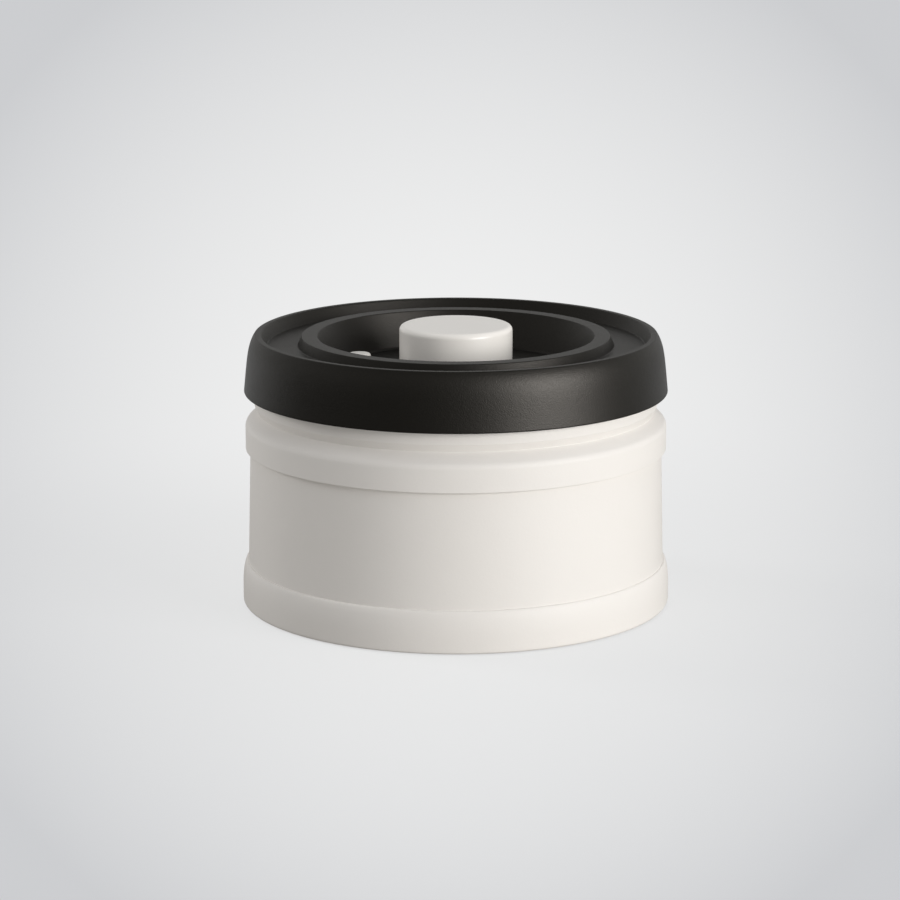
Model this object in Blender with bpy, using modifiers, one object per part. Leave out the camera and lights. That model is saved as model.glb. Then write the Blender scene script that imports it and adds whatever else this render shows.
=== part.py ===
"""Vacuum canister for ground coffee or beans, with a hand pump in its lid.

A coated steel canister stands on a thin silicone ring. Its lid lifts straight off the neck.
The lid carries a pump: a big button pushes a piston down a cylinder, a spring brings it back,
and each return stroke draws air out of the canister through a one-way valve. A small button
beside it opens a second valve that lets the air back in.

Units are metres. The object stands on z = 0, its axis is Z, and its front faces -Y.
A profile is a list of (radius, height) points, which runs down the outer side of its piece.
"""
import math

import bmesh
import bpy

# Fits
SEAT_GAP = 0.0003
SLIDE_GAP = 0.0004
CUT_OVERRUN = 0.0010
MERGE_DISTANCE = 0.00001

# Steel canister, sizes of its outside
CANISTER_RADIUS = 0.06095
STEEL_WALL = 0.0008
BASE_CORNER = 0.0007
INNER_CORNER = 0.0022
BASE_RECESS = 0.0013
LOWER_BAND_HEIGHT = 0.0118
BULGE_HEIGHT = 0.0070
CREASE_LEDGE = 0.00027
SIDE_INSET = 0.00167
SIDE_DRAFT = 0.00083
SIDE_HEIGHT = 0.0324
UPPER_STEP_HEIGHT = 0.0002
UPPER_BAND_INSET = 0.0012
UPPER_BAND_HEIGHT = 0.0062
SHOULDER_ROUND = 0.0025
SHOULDER_HEIGHT = 0.0043
NECK_GROOVE_HEIGHT = 0.0021
NECK_GROOVE_DEPTH = 0.0010
NECK_INSET = 0.00385
NECK_HEIGHT = 0.0128
RIM_BEAD = 0.0004

# Silicone foot ring under the canister
FOOT_PROUD = 0.0004
FOOT_WIDTH = 0.0040
FOOT_EDGE = 0.0037

# Lid cover
SKIRT_CLEARANCE = 0.00035
SKIRT_WALL = 0.0022
SKIRT_DROP = 0.0095
SKIRT_DRAFT = 0.0016
SKIRT_SHOULDER = 0.0016
SKIRT_EDGE = 0.0005
RIM_WIDTH = 0.0017
RIM_EDGE = 0.0007
RIM_SLOPE = 0.0017
CHANNEL_WALL = 0.0033
CHANNEL_DEPTH = 0.00345
CHANNEL_WIDTH = 0.0087
COLLAR_HEIGHT = 0.00285
COLLAR_SLOPE = 0.0012
COLLAR_WIDTH = 0.0043
COLLAR_EDGE = 0.0004
WELL_DEPTH = 0.01015
WELL_SLOPE = 0.0045
WELL_CORNER = 0.0020
COVER_WALL = 0.0020
GUIDE_WALL = 0.0020
GUIDE_DROP = 0.0080
SNAP_BEAD = 0.0004
SNAP_HEIGHT = 0.0010
SNAP_RISE = 0.0020

# Lid base, which closes the lid from below and carries the gasket
LID_CAVITY = 0.0062
PLATE_THICKNESS = 0.0020
PLUG_WALL = 0.0022
PLUG_RIDGE = 0.0016
RIDGE_HEIGHT = 0.0016
RIDGE_CLEARANCE = 0.0010

# Lid gasket
GASKET_DROP = 0.0052
GASKET_HEIGHT = 0.0046
GASKET_BODY = 0.0012
GASKET_LIP = 0.0008

# Pump button, piston and cylinder
PUMP_RADIUS = 0.0160
PUMP_PROUD = 0.0130
PUMP_STROKE = 0.0080
PUMP_EDGE = 0.0015
PUMP_TOP_WALL = 0.0020
PUMP_SIDE_WALL = 0.0017
PUMP_POST_RADIUS = 0.0034
PISTON_OVERLAP = 0.0020
PISTON_PLATE = 0.0016
PISTON_HEIGHT = 0.0050
PISTON_WALL = 0.0017
SPIGOT_WALL = 0.0012
SPIGOT_HEIGHT = 0.0015
SEAL_GROOVE_DEPTH = 0.0020
SEAL_GROOVE_HEIGHT = 0.0018
SEAL_LIP = 0.0005
CYLINDER_CLEARANCE = 0.0007
CYLINDER_WALL = 0.0016
CYLINDER_FLOOR = 0.0015
STROKE_CLEARANCE = 0.0007
FLANGE_WIDTH = 0.0022
FLANGE_HEIGHT = 0.0027
FLANGE_RING_RADIUS = 0.0005
EAR_RADIUS = 0.0034
EAR_COUNT = 4
BOSS_RADIUS = 0.0030
BOSS_FLOOR = 0.0012

# Return spring under the piston
SPRING_RADIUS = 0.0100
SPRING_WIRE_RADIUS = 0.0004
SPRING_TURNS = 4
SPRING_RIB_WALL = 0.0009
SPRING_RIB_HEIGHT = 0.0012

# Screws
SCREW_HEAD_RADIUS = 0.0022
SCREW_HEAD_HEIGHT = 0.0014
SCREW_SHANK_RADIUS = 0.00115
SCREW_LENGTH = 0.0075
SCREW_SOCKET_RADIUS = 0.0011
SCREW_SOCKET_DEPTH = 0.0007
PISTON_SCREW_LENGTH = 0.0090

# Inlet valve and its filter, under the cylinder
VALVE_RADIUS = 0.0050
VALVE_EDGE = 0.0004
VALVE_CROWN = 0.0010
VALVE_STEM_RADIUS = 0.0010
VALVE_BULB_RADIUS = 0.0017
VALVE_BULB_HEIGHT = 0.0011
INLET_HOLE_RADIUS = 0.0008
INLET_HOLE_COUNT = 6
FILTER_RADIUS = 0.0123
FILTER_WALL = 0.0014
FILTER_DROP = 0.0021
SCREEN_THICKNESS = 0.0004
SCREEN_HOLE_RADIUS = 0.0006
FILTER_CAP_WALL = 0.0012
FILTER_CAP_FLOOR = 0.0010
FILTER_CAP_HOLE_RADIUS = 0.0021
FILTER_CAP_HOLE_COUNT = 6

# Release button and its valve
RELEASE_RADIUS = 0.0033
RELEASE_PRESSED_PROUD = 0.0028
RELEASE_TRAVEL = 0.0020
RELEASE_EDGE = 0.0006
RELEASE_FLANGE_WIDTH = 0.0010
RELEASE_FLANGE_HEIGHT = 0.0012
RELEASE_SIDE_GAP = 0.0006
RELEASE_GUIDE_WALL = 0.0008
RELEASE_STEM_RADIUS = 0.0013
RELEASE_STEM_GRIP = 0.0040
RELEASE_AIR_GAP = 0.0008
RELEASE_HEAD_RADIUS = 0.0036
RELEASE_HEAD_HEIGHT = 0.0012
RELEASE_SEAL_HEIGHT = 0.0010
RELEASE_WIRE_RADIUS = 0.0002
RELEASE_SPRING_TURNS = 3

# Sides of the turned pieces
BODY_SEGMENTS = 48
RING_SEGMENTS = 40
PUMP_SEGMENTS = 24
SMALL_SEGMENTS = 12
SCREEN_HOLE_SIDES = 6
POINTS_PER_TURN = 12

# Heights and radii worked out from the sizes above
shell_base = FOOT_PROUD
band_top = shell_base + LOWER_BAND_HEIGHT
side_top = band_top + SIDE_HEIGHT
upper_band_bottom = side_top + UPPER_STEP_HEIGHT
upper_band_top = upper_band_bottom + UPPER_BAND_HEIGHT
groove_bottom = upper_band_top + SHOULDER_HEIGHT
neck_bottom = groove_bottom + NECK_GROOVE_HEIGHT
rim_top = neck_bottom + NECK_HEIGHT
neck_radius = CANISTER_RADIUS - NECK_INSET
bead_radius = neck_radius + RIM_BEAD

lid_seat = rim_top + SEAT_GAP
skirt_bottom = lid_seat - SKIRT_DROP
skirt_inner = bead_radius + SKIRT_CLEARANCE
lid_radius = skirt_inner + SKIRT_WALL
channel_floor = lid_seat + CHANNEL_WALL
crest = channel_floor + CHANNEL_DEPTH
crest_outer = lid_radius - SKIRT_DRAFT - SKIRT_SHOULDER
crest_inner = crest_outer - RIM_WIDTH
channel_outer = crest_inner - RIM_SLOPE
channel_inner = channel_outer - CHANNEL_WIDTH
collar_top = channel_floor + COLLAR_HEIGHT
collar_outer = channel_inner - COLLAR_SLOPE
well_mouth = collar_outer - COLLAR_WIDTH
well_floor = collar_top - WELL_DEPTH
well_radius = well_mouth - WELL_SLOPE
cavity_top = well_floor - COVER_WALL

plate_top = cavity_top - LID_CAVITY
plate_bottom = plate_top - PLATE_THICKNESS
neck_inner = neck_radius - STEEL_WALL
ridge_radius = neck_inner - RIDGE_CLEARANCE
plug_radius = ridge_radius - PLUG_RIDGE
plug_inner = plug_radius - PLUG_WALL
guide_radius = plug_inner - SEAT_GAP
gasket_top = rim_top - GASKET_DROP
gasket_bottom = gasket_top - GASKET_HEIGHT
snap_height = lid_seat - GUIDE_DROP + SNAP_RISE

piston_top = cavity_top - SEAT_GAP
piston_ceiling = piston_top - PISTON_PLATE
piston_bottom = piston_top - PISTON_HEIGHT
piston_radius = PUMP_RADIUS + PISTON_OVERLAP
cylinder_radius = piston_radius + CYLINDER_CLEARANCE
cylinder_outer = cylinder_radius + CYLINDER_WALL
cylinder_floor = piston_bottom - PUMP_STROKE - STROKE_CLEARANCE
cylinder_bottom = cylinder_floor - CYLINDER_FLOOR
flange_radius = cylinder_outer + FLANGE_WIDTH
flange_ring_radius = cylinder_outer + SEAT_GAP + FLANGE_RING_RADIUS
flange_bottom = plate_top + SEAT_GAP
flange_top = flange_bottom + FLANGE_HEIGHT
ear_distance = flange_radius + EAR_RADIUS
ear_angles = [math.radians(360 * (n + 0.5) / EAR_COUNT) for n in range(EAR_COUNT)]
screw_seat = flange_top + SEAT_GAP
boss_hole_bottom = screw_seat - SCREW_LENGTH - SEAT_GAP
boss_bottom = boss_hole_bottom - BOSS_FLOOR

filter_wall_bottom = cylinder_bottom - FILTER_DROP
screen_top = filter_wall_bottom - SEAT_GAP
screen_bottom = screen_top - SCREEN_THICKNESS
filter_cap_top = screen_bottom - SEAT_GAP
inlet_hole_distance = (VALVE_STEM_RADIUS + VALVE_RADIUS) / 2

release_flange_radius = RELEASE_RADIUS + RELEASE_FLANGE_WIDTH
release_distance = flange_radius + RELEASE_SIDE_GAP + release_flange_radius
release_place = (-release_distance, 0)
release_flange_top = cavity_top - SEAT_GAP
release_flange_bottom = release_flange_top - RELEASE_FLANGE_HEIGHT
release_guide_radius = release_flange_radius + SLIDE_GAP
release_guide_bottom = flange_top + 2 * SEAT_GAP
release_seal_top = plate_bottom - SEAT_GAP
release_head_top = release_seal_top - RELEASE_SEAL_HEIGHT - SEAT_GAP

axis_place = (0, 0)


def clear_scene():
    """Remove every object, so that the script can be run again."""
    for old in list(bpy.data.objects):
        bpy.data.objects.remove(old, do_unlink=True)


def new_collection(name):
    """Make a collection under the scene's own."""
    collection = bpy.data.collections.new(name)
    bpy.context.scene.collection.children.link(collection)
    return collection


def finish(name, colour, roughness, metallic=0.0):
    """Make a plain material of one colour."""
    material = bpy.data.materials.new(name)
    material.use_nodes = True
    material.diffuse_color = (*colour, 1.0)
    shader = material.node_tree.nodes["Principled BSDF"]
    shader.inputs["Base Color"].default_value = (*colour, 1.0)
    shader.inputs["Roughness"].default_value = roughness
    shader.inputs["Metallic"].default_value = metallic
    return material


def axis_empty(name, place, height, parent=None):
    """Put an empty on the line that a moving group slides along."""
    empty = bpy.data.objects.new(name, None)
    empty.location = (*place, height)
    empty.empty_display_size = PUMP_RADIUS
    parts.objects.link(empty)
    attach(empty, parent)
    return empty


def attach(piece, parent):
    """Parent a piece to a group's empty, and leave it where it is."""
    if parent is None:
        return
    bpy.context.view_layer.update()
    piece.parent = parent
    piece.matrix_parent_inverse = parent.matrix_world.inverted()


def arc(centre, radii, start, end, steps):
    """Points of an arc round centre, from start to end in degrees, both ends included.

    radii holds its half widths along the radius and along the height.
    """
    angles = [math.radians(start + (end - start) * n / steps) for n in range(steps + 1)]
    return [(centre[0] + radii[0] * math.cos(a), centre[1] + radii[1] * math.sin(a)) for a in angles]


def turned(name, profile, segments, material, parent=None, place=axis_place):
    """Turn a profile round the vertical line through place.

    A profile that starts on the axis is open there, and any other closes on itself.
    """
    mesh = bpy.data.meshes.new(name)
    count = len(profile)
    edges = [(n, n + 1) for n in range(count - 1)]
    if profile[0][0] > 0:
        edges.append((count - 1, 0))
    mesh.from_pydata([(radius, 0, height) for radius, height in profile], edges, [])
    mesh.materials.append(material)
    piece = bpy.data.objects.new(name, mesh)
    piece.location = (*place, 0)
    parts.objects.link(piece)
    turn = piece.modifiers.new("turn", 'SCREW')
    turn.steps = turn.render_steps = segments
    turn.use_merge_vertices = True
    turn.merge_threshold = MERGE_DISTANCE
    turn.use_smooth_shade = True
    attach(piece, parent)
    return piece


def round_tool(name, radius, bottom, top, places, segments=SMALL_SEGMENTS):
    """Make upright round bars at the given places, to cut or to join with."""
    work = bmesh.new()
    for x, y in places:
        bar = bmesh.ops.create_cone(work, cap_ends=True, segments=segments,
                                    radius1=radius, radius2=radius, depth=top - bottom)
        bmesh.ops.translate(work, verts=bar["verts"], vec=(x, y, (bottom + top) / 2))
    mesh = bpy.data.meshes.new(name)
    work.to_mesh(mesh)
    work.free()
    tool = bpy.data.objects.new(name, mesh)
    tool.display_type = 'WIRE'
    tool.hide_render = True
    tools.objects.link(tool)
    return tool


def combine(piece, tool, operation):
    """Cut a tool out of a piece with DIFFERENCE, or join it on with UNION."""
    step = piece.modifiers.new(tool.name, 'BOOLEAN')
    step.operation = operation
    step.object = tool


def ring_of(count, distance, first=0.0):
    """Places of count points on a circle, the first at an angle in radians."""
    angles = [first + 2 * math.pi * n / count for n in range(count)]
    return [(distance * math.cos(a), distance * math.sin(a)) for a in angles]


def ear_centres():
    """Places of the cylinder's screw ears."""
    return [(ear_distance * math.cos(a), ear_distance * math.sin(a)) for a in ear_angles]


def coil(name, radius, wire_radius, turns, bottom, top, material, parent, place=axis_place):
    """Wind a compression spring between two heights, which its wire touches."""
    curve = bpy.data.curves.new(name, 'CURVE')
    curve.dimensions = '3D'
    curve.bevel_depth = wire_radius
    curve.bevel_resolution = 1
    curve.use_fill_caps = True
    curve.materials.append(material)
    count = turns * POINTS_PER_TURN + 1
    wire = curve.splines.new('POLY')
    wire.points.add(count - 1)
    low = bottom + wire_radius
    rise = top - bottom - 2 * wire_radius
    for n, point in enumerate(wire.points):
        share = n / (count - 1)
        angle = 2 * math.pi * turns * share
        point.co = (radius * math.cos(angle), radius * math.sin(angle), low + rise * share, 1)
    spring = bpy.data.objects.new(name, curve)
    spring.location = (*place, 0)
    parts.objects.link(spring)
    attach(spring, parent)
    return spring


def screw(name, place, seat, length, material, parent, head_up=True):
    """Make a round-headed screw whose head rests at the height seat, with a driver socket."""
    way = 1 if head_up else -1
    profile = [(0, seat + way * (SCREW_HEAD_HEIGHT - SCREW_SOCKET_DEPTH)),
               (SCREW_SOCKET_RADIUS, seat + way * (SCREW_HEAD_HEIGHT - SCREW_SOCKET_DEPTH)),
               (SCREW_SOCKET_RADIUS, seat + way * SCREW_HEAD_HEIGHT),
               (SCREW_HEAD_RADIUS - SCREW_SOCKET_DEPTH, seat + way * SCREW_HEAD_HEIGHT),
               (SCREW_HEAD_RADIUS, seat + way * (SCREW_HEAD_HEIGHT - SCREW_SOCKET_DEPTH)),
               (SCREW_HEAD_RADIUS, seat),
               (SCREW_SHANK_RADIUS, seat),
               (SCREW_SHANK_RADIUS, seat - way * (length - SCREW_SHANK_RADIUS)),
               (0, seat - way * length)]
    if not head_up:
        profile.reverse()
    return turned(name, profile, SMALL_SEGMENTS, material, parent, place)


# Steel canister and its foot ring

def make_shell():
    """One steel wall: recessed base, bulged band, sharp crease, side, upper band, neck and rolled rim."""
    side_radius = CANISTER_RADIUS - SIDE_INSET
    side_top_radius = side_radius - SIDE_DRAFT
    crease_radius = side_radius + CREASE_LEDGE
    upper_radius = CANISTER_RADIUS - UPPER_BAND_INSET
    bulge_centre = (crease_radius, band_top - BULGE_HEIGHT)
    bulge_width = CANISTER_RADIUS - crease_radius
    recess_radius = CANISTER_RADIUS - BASE_CORNER - FOOT_EDGE
    recess_top = shell_base + BASE_RECESS
    round_centre = (upper_radius - SHOULDER_ROUND, upper_band_top)
    inner_round = SHOULDER_ROUND - STEEL_WALL
    groove_centre = (neck_radius, neck_bottom - NECK_GROOVE_HEIGHT / 2)
    groove_radii = (NECK_GROOVE_DEPTH, NECK_GROOVE_HEIGHT / 2)
    inner_groove_radii = (NECK_GROOVE_DEPTH, NECK_GROOVE_HEIGHT / 2 + STEEL_WALL)
    bead = RIM_BEAD + STEEL_WALL

    neck_part = arc((bead_radius - bead / 2, rim_top - bead / 2), (bead / 2, bead / 2), 180, -60, 5)
    neck_part += [(neck_radius, rim_top - bead)] + arc(groove_centre, groove_radii, 90, 180, 2)
    shoulder = [(neck_radius - NECK_GROOVE_DEPTH, groove_bottom)]
    shoulder += arc(round_centre, (SHOULDER_ROUND, SHOULDER_ROUND), 45, 0, 2)
    side = [(upper_radius, upper_band_bottom), (side_top_radius, side_top), (side_radius, band_top)]
    bulge = arc(bulge_centre, (bulge_width, BULGE_HEIGHT), 90, 0, 5)
    corner_centre = (CANISTER_RADIUS - BASE_CORNER, shell_base + BASE_CORNER)
    corner = arc(corner_centre, (BASE_CORNER, BASE_CORNER), 0, -90, 2)
    base = [(recess_radius, shell_base), (recess_radius, recess_top), (0, recess_top)]
    outside = neck_part + shoulder + side + bulge + corner + base

    floor = recess_top + STEEL_WALL
    side_inner = CANISTER_RADIUS - STEEL_WALL
    inside = [(0, floor)]
    inside += arc((side_inner - INNER_CORNER, floor + INNER_CORNER), (INNER_CORNER, INNER_CORNER), -90, 0, 2)
    inner_bulge_centre = (crease_radius - STEEL_WALL, bulge_centre[1])
    inside += arc(inner_bulge_centre, (bulge_width, BULGE_HEIGHT - STEEL_WALL), 0, 90, 3)
    inside += [(side_radius - STEEL_WALL, band_top),
               (side_top_radius - STEEL_WALL, side_top + STEEL_WALL),
               (upper_radius - STEEL_WALL, upper_band_bottom + STEEL_WALL)]
    inside += arc(round_centre, (inner_round, inner_round), 0, 45, 1)
    inside += [(neck_inner - NECK_GROOVE_DEPTH, groove_bottom - STEEL_WALL / 2)]
    inside += arc((neck_inner, groove_centre[1]), inner_groove_radii, 180, 90, 2)
    return turned("canister_shell", inside + outside, BODY_SEGMENTS, coated_steel)


def make_foot_ring():
    """A silicone ring glued into the corner of the base recess, so that it stands a little proud."""
    outer = CANISTER_RADIUS - BASE_CORNER - FOOT_EDGE - SEAT_GAP
    top = shell_base + BASE_RECESS - SEAT_GAP
    profile = [(outer, top), (outer - FOOT_PROUD, 0), (outer - FOOT_WIDTH + FOOT_PROUD, 0),
               (outer - FOOT_WIDTH, top)]
    return turned("foot_ring", profile, BODY_SEGMENTS, dark_silicone)


# Lid cover, base and gasket

def skirt_point(share):
    """Outside of the skirt at a share of its height: a straight draft, then a late rounding."""
    radius = lid_radius - SKIRT_DRAFT * share - SKIRT_SHOULDER * share ** 6
    return (radius, skirt_bottom + (crest - skirt_bottom) * share)


def make_lid_cover():
    """The top of the lid: skirt, rim, channel, collar, and a well with holes for both buttons.

    A short sleeve under the well's floor guides the release button's flange and spring.
    """
    skirt_shares = (0.93, 0.85, 0.7, 0.5, 0.25)
    profile = [(crest_inner + RIM_EDGE, crest), (crest_outer - RIM_EDGE, crest)]
    profile += [skirt_point(share) for share in skirt_shares]
    profile += [(lid_radius, skirt_bottom + SKIRT_EDGE), (lid_radius - SKIRT_EDGE, skirt_bottom),
                (skirt_inner, skirt_bottom), (skirt_inner, lid_seat), (guide_radius, lid_seat),
                (guide_radius, snap_height + SNAP_HEIGHT), (guide_radius + SNAP_BEAD, snap_height),
                (guide_radius, snap_height - SNAP_HEIGHT), (guide_radius, lid_seat - GUIDE_DROP),
                (guide_radius - GUIDE_WALL, lid_seat - GUIDE_DROP),
                (guide_radius - GUIDE_WALL, channel_floor - COVER_WALL),
                (channel_inner - COVER_WALL, channel_floor - COVER_WALL),
                (collar_outer - COVER_WALL, collar_top - COVER_WALL),
                (well_mouth + COVER_WALL, collar_top - COVER_WALL),
                (well_radius + COVER_WALL, well_floor + WELL_CORNER),
                (well_radius + COVER_WALL - WELL_CORNER, cavity_top),
                (PUMP_RADIUS + SLIDE_GAP, cavity_top),
                (PUMP_RADIUS + SLIDE_GAP, well_floor),
                (well_radius - WELL_CORNER, well_floor),
                (well_radius, well_floor + WELL_CORNER / 2),
                (well_mouth - COLLAR_EDGE, collar_top - 2 * COLLAR_EDGE),
                (well_mouth + COLLAR_EDGE, collar_top),
                (collar_outer - COLLAR_EDGE, collar_top),
                (collar_outer, collar_top - COLLAR_EDGE),
                (channel_inner, channel_floor), (channel_outer, channel_floor),
                (crest_inner, crest - RIM_EDGE)]
    cover = turned("lid_cover", profile, BODY_SEGMENTS, dark_plastic, lid_axis)
    sleeve = round_tool("release_sleeve_tool", release_guide_radius + RELEASE_GUIDE_WALL,
                        release_guide_bottom, (cavity_top + well_floor) / 2, [release_place])
    bore = round_tool("release_bore_tool", release_guide_radius, release_guide_bottom - CUT_OVERRUN,
                      well_floor + CUT_OVERRUN, [release_place])
    combine(sleeve, bore, 'DIFFERENCE')
    combine(cover, sleeve, 'UNION')
    hole = round_tool("release_hole_tool", RELEASE_RADIUS + SLIDE_GAP, cavity_top - CUT_OVERRUN,
                      collar_top + CUT_OVERRUN, [release_place])
    combine(cover, hole, 'DIFFERENCE')
    return cover


def make_lid_base():
    """The plate and plug wall under the cover, with blind bosses for the cylinder's screws."""
    upper_ridge = gasket_top + SEAT_GAP
    profile = [(plug_radius, lid_seat - SEAT_GAP), (plug_radius, upper_ridge + RIDGE_HEIGHT),
               (ridge_radius, upper_ridge + RIDGE_HEIGHT), (ridge_radius, upper_ridge),
               (plug_radius, upper_ridge), (plug_radius, gasket_bottom - SEAT_GAP),
               (ridge_radius, gasket_bottom - SEAT_GAP),
               (ridge_radius, gasket_bottom - SEAT_GAP - RIDGE_HEIGHT), (plug_radius, plate_bottom),
               (cylinder_outer + SEAT_GAP, plate_bottom), (cylinder_outer + SEAT_GAP, plate_top),
               (plug_inner, plate_top), (plug_inner, snap_height - SNAP_HEIGHT),
               (plug_inner + SNAP_BEAD, snap_height), (plug_inner, snap_height + SNAP_HEIGHT),
               (plug_inner, lid_seat - SEAT_GAP)]
    base = turned("lid_base", profile, RING_SEGMENTS, dark_plastic, lid_axis)
    bosses = round_tool("boss_tool", BOSS_RADIUS, boss_bottom, plate_top - PLATE_THICKNESS / 2, ear_centres())
    combine(base, bosses, 'UNION')
    holes = round_tool("boss_hole_tool", SCREW_SHANK_RADIUS + SEAT_GAP, boss_hole_bottom,
                       plate_top + CUT_OVERRUN, ear_centres())
    combine(base, holes, 'DIFFERENCE')
    air = round_tool("release_air_tool", RELEASE_STEM_RADIUS + RELEASE_AIR_GAP, plate_bottom - CUT_OVERRUN,
                     plate_top + CUT_OVERRUN, [release_place])
    combine(base, air, 'DIFFERENCE')
    return base


def make_lid_gasket():
    """A silicone ring with two lips that bear on the inside of the neck."""
    inner = plug_radius + SEAT_GAP
    body = inner + GASKET_BODY
    lip = neck_inner - SEAT_GAP
    half_lip = GASKET_LIP / 2
    profile = [(body, gasket_top)]
    for share in (0.75, 0.25):
        middle = gasket_bottom + GASKET_HEIGHT * share
        profile += [(body, middle + GASKET_LIP), (lip, middle + half_lip), (body, middle - half_lip)]
    profile += [(body, gasket_bottom), (inner, gasket_bottom), (inner, gasket_top)]
    return turned("lid_gasket", profile, RING_SEGMENTS, pale_silicone, lid_axis)


# Pump cylinder with its seal, screws, valve and filter

def make_pump_cylinder():
    """A cup that hangs through the lid base on a flange with four screw ears."""
    rebate_top = flange_bottom + 2 * FLANGE_RING_RADIUS + SEAT_GAP
    rebate_radius = flange_ring_radius + FLANGE_RING_RADIUS + SEAT_GAP
    spring_inner = SPRING_RADIUS * math.cos(math.pi / POINTS_PER_TURN) - SPRING_WIRE_RADIUS
    rib_outer = spring_inner - SEAT_GAP
    profile = [(cylinder_outer, cavity_top - SEAT_GAP), (cylinder_outer, flange_top),
               (flange_radius, flange_top), (flange_radius, flange_bottom),
               (rebate_radius, flange_bottom), (rebate_radius, rebate_top),
               (cylinder_outer, rebate_top), (cylinder_outer, cylinder_bottom),
               (FILTER_RADIUS, cylinder_bottom), (FILTER_RADIUS, filter_wall_bottom),
               (FILTER_RADIUS - FILTER_WALL, filter_wall_bottom),
               (FILTER_RADIUS - FILTER_WALL, cylinder_bottom),
               (VALVE_STEM_RADIUS + SEAT_GAP, cylinder_bottom),
               (VALVE_STEM_RADIUS + SEAT_GAP, cylinder_floor),
               (rib_outer - SPRING_RIB_WALL, cylinder_floor),
               (rib_outer - SPRING_RIB_WALL, cylinder_floor + SPRING_RIB_HEIGHT),
               (rib_outer, cylinder_floor + SPRING_RIB_HEIGHT), (rib_outer, cylinder_floor),
               (cylinder_radius, cylinder_floor), (cylinder_radius, cavity_top - SEAT_GAP)]
    cylinder = turned("pump_cylinder", profile, PUMP_SEGMENTS, grey_plastic, lid_axis)
    ears = round_tool("ear_tool", EAR_RADIUS, flange_bottom, flange_top, ear_centres())
    spokes = round_tool("ear_root_tool", EAR_RADIUS, flange_bottom, flange_top, ring_of(
        EAR_COUNT, ear_distance - EAR_RADIUS, ear_angles[0]))
    bore = round_tool("ear_bore_tool", (rebate_radius + flange_radius) / 2, flange_bottom - CUT_OVERRUN,
                      flange_top + CUT_OVERRUN, [axis_place], PUMP_SEGMENTS)
    for tool in (ears, spokes):
        combine(tool, bore, 'DIFFERENCE')
        combine(cylinder, tool, 'UNION')
    holes = round_tool("ear_hole_tool", SCREW_SHANK_RADIUS + SEAT_GAP, flange_bottom - CUT_OVERRUN,
                       flange_top + CUT_OVERRUN, ear_centres())
    combine(cylinder, holes, 'DIFFERENCE')
    inlets = round_tool("inlet_tool", INLET_HOLE_RADIUS, cylinder_bottom - CUT_OVERRUN,
                        cylinder_floor + CUT_OVERRUN, ring_of(INLET_HOLE_COUNT, inlet_hole_distance))
    combine(cylinder, inlets, 'DIFFERENCE')
    return cylinder


def make_cylinder_gasket():
    """An O-ring in the groove under the cylinder's flange."""
    centre = (flange_ring_radius, flange_bottom + FLANGE_RING_RADIUS)
    radii = (FLANGE_RING_RADIUS, FLANGE_RING_RADIUS)
    profile = arc(centre, radii, 90, -210, 5)
    return turned("cylinder_gasket", profile, PUMP_SEGMENTS, dark_silicone, lid_axis)


def make_cylinder_screws():
    """Screws that clamp the cylinder's ears to the blind bosses of the lid base."""
    for number, place in enumerate(ear_centres(), start=1):
        screw(f"cylinder_screw_{number}", place, screw_seat, SCREW_LENGTH, bright_steel, lid_axis)


def make_inlet_valve():
    """A silicone mushroom: its flap covers the inlet holes and its bulb holds it in the floor."""
    flap_bottom = cylinder_floor + SEAT_GAP
    bulb_top = cylinder_bottom - SEAT_GAP
    profile = [(0, flap_bottom + VALVE_CROWN), (VALVE_RADIUS / 2, flap_bottom + VALVE_CROWN),
               (VALVE_RADIUS, flap_bottom + VALVE_EDGE), (VALVE_RADIUS, flap_bottom),
               (VALVE_STEM_RADIUS, flap_bottom), (VALVE_STEM_RADIUS, bulb_top), (VALVE_BULB_RADIUS, bulb_top),
               (VALVE_STEM_RADIUS, bulb_top - VALVE_BULB_HEIGHT), (0, bulb_top - VALVE_BULB_HEIGHT)]
    return turned("inlet_valve", profile, SMALL_SEGMENTS, pale_silicone, lid_axis)


def make_filter():
    """A steel screen, and the pierced cap that holds it to the wall below the cylinder."""
    screen_profile = [(0, screen_top), (FILTER_RADIUS, screen_top), (FILTER_RADIUS, screen_bottom),
                      (0, screen_bottom)]
    screen = turned("filter_screen", screen_profile, PUMP_SEGMENTS, bright_steel, lid_axis)
    rings = [(0, 0)]
    for ring in (1, 2):
        rings += ring_of(6 * ring, ring * (FILTER_RADIUS - FILTER_WALL) / 3)
    holes = round_tool("screen_tool", SCREEN_HOLE_RADIUS, screen_bottom - CUT_OVERRUN,
                       screen_top + CUT_OVERRUN, rings, SCREEN_HOLE_SIDES)
    combine(screen, holes, 'DIFFERENCE')

    inner = FILTER_RADIUS + SEAT_GAP
    outer = inner + FILTER_CAP_WALL
    bottom = filter_cap_top - FILTER_CAP_FLOOR
    cap_profile = [(0, filter_cap_top), (inner, filter_cap_top), (inner, cylinder_bottom - SEAT_GAP),
                   (outer, cylinder_bottom - SEAT_GAP), (outer, bottom + FILTER_CAP_FLOOR / 2),
                   (outer - FILTER_CAP_FLOOR / 2, bottom), (0, bottom)]
    cap = turned("filter_cap", cap_profile, PUMP_SEGMENTS, dark_plastic, lid_axis)
    hole_distance = (FILTER_RADIUS - FILTER_WALL + FILTER_CAP_HOLE_RADIUS) / 2
    openings = round_tool("cap_tool", FILTER_CAP_HOLE_RADIUS, bottom - CUT_OVERRUN,
                          filter_cap_top + CUT_OVERRUN,
                          [axis_place] + ring_of(FILTER_CAP_HOLE_COUNT, hole_distance))
    combine(cap, openings, 'DIFFERENCE')


# Pump button, piston and spring

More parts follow.
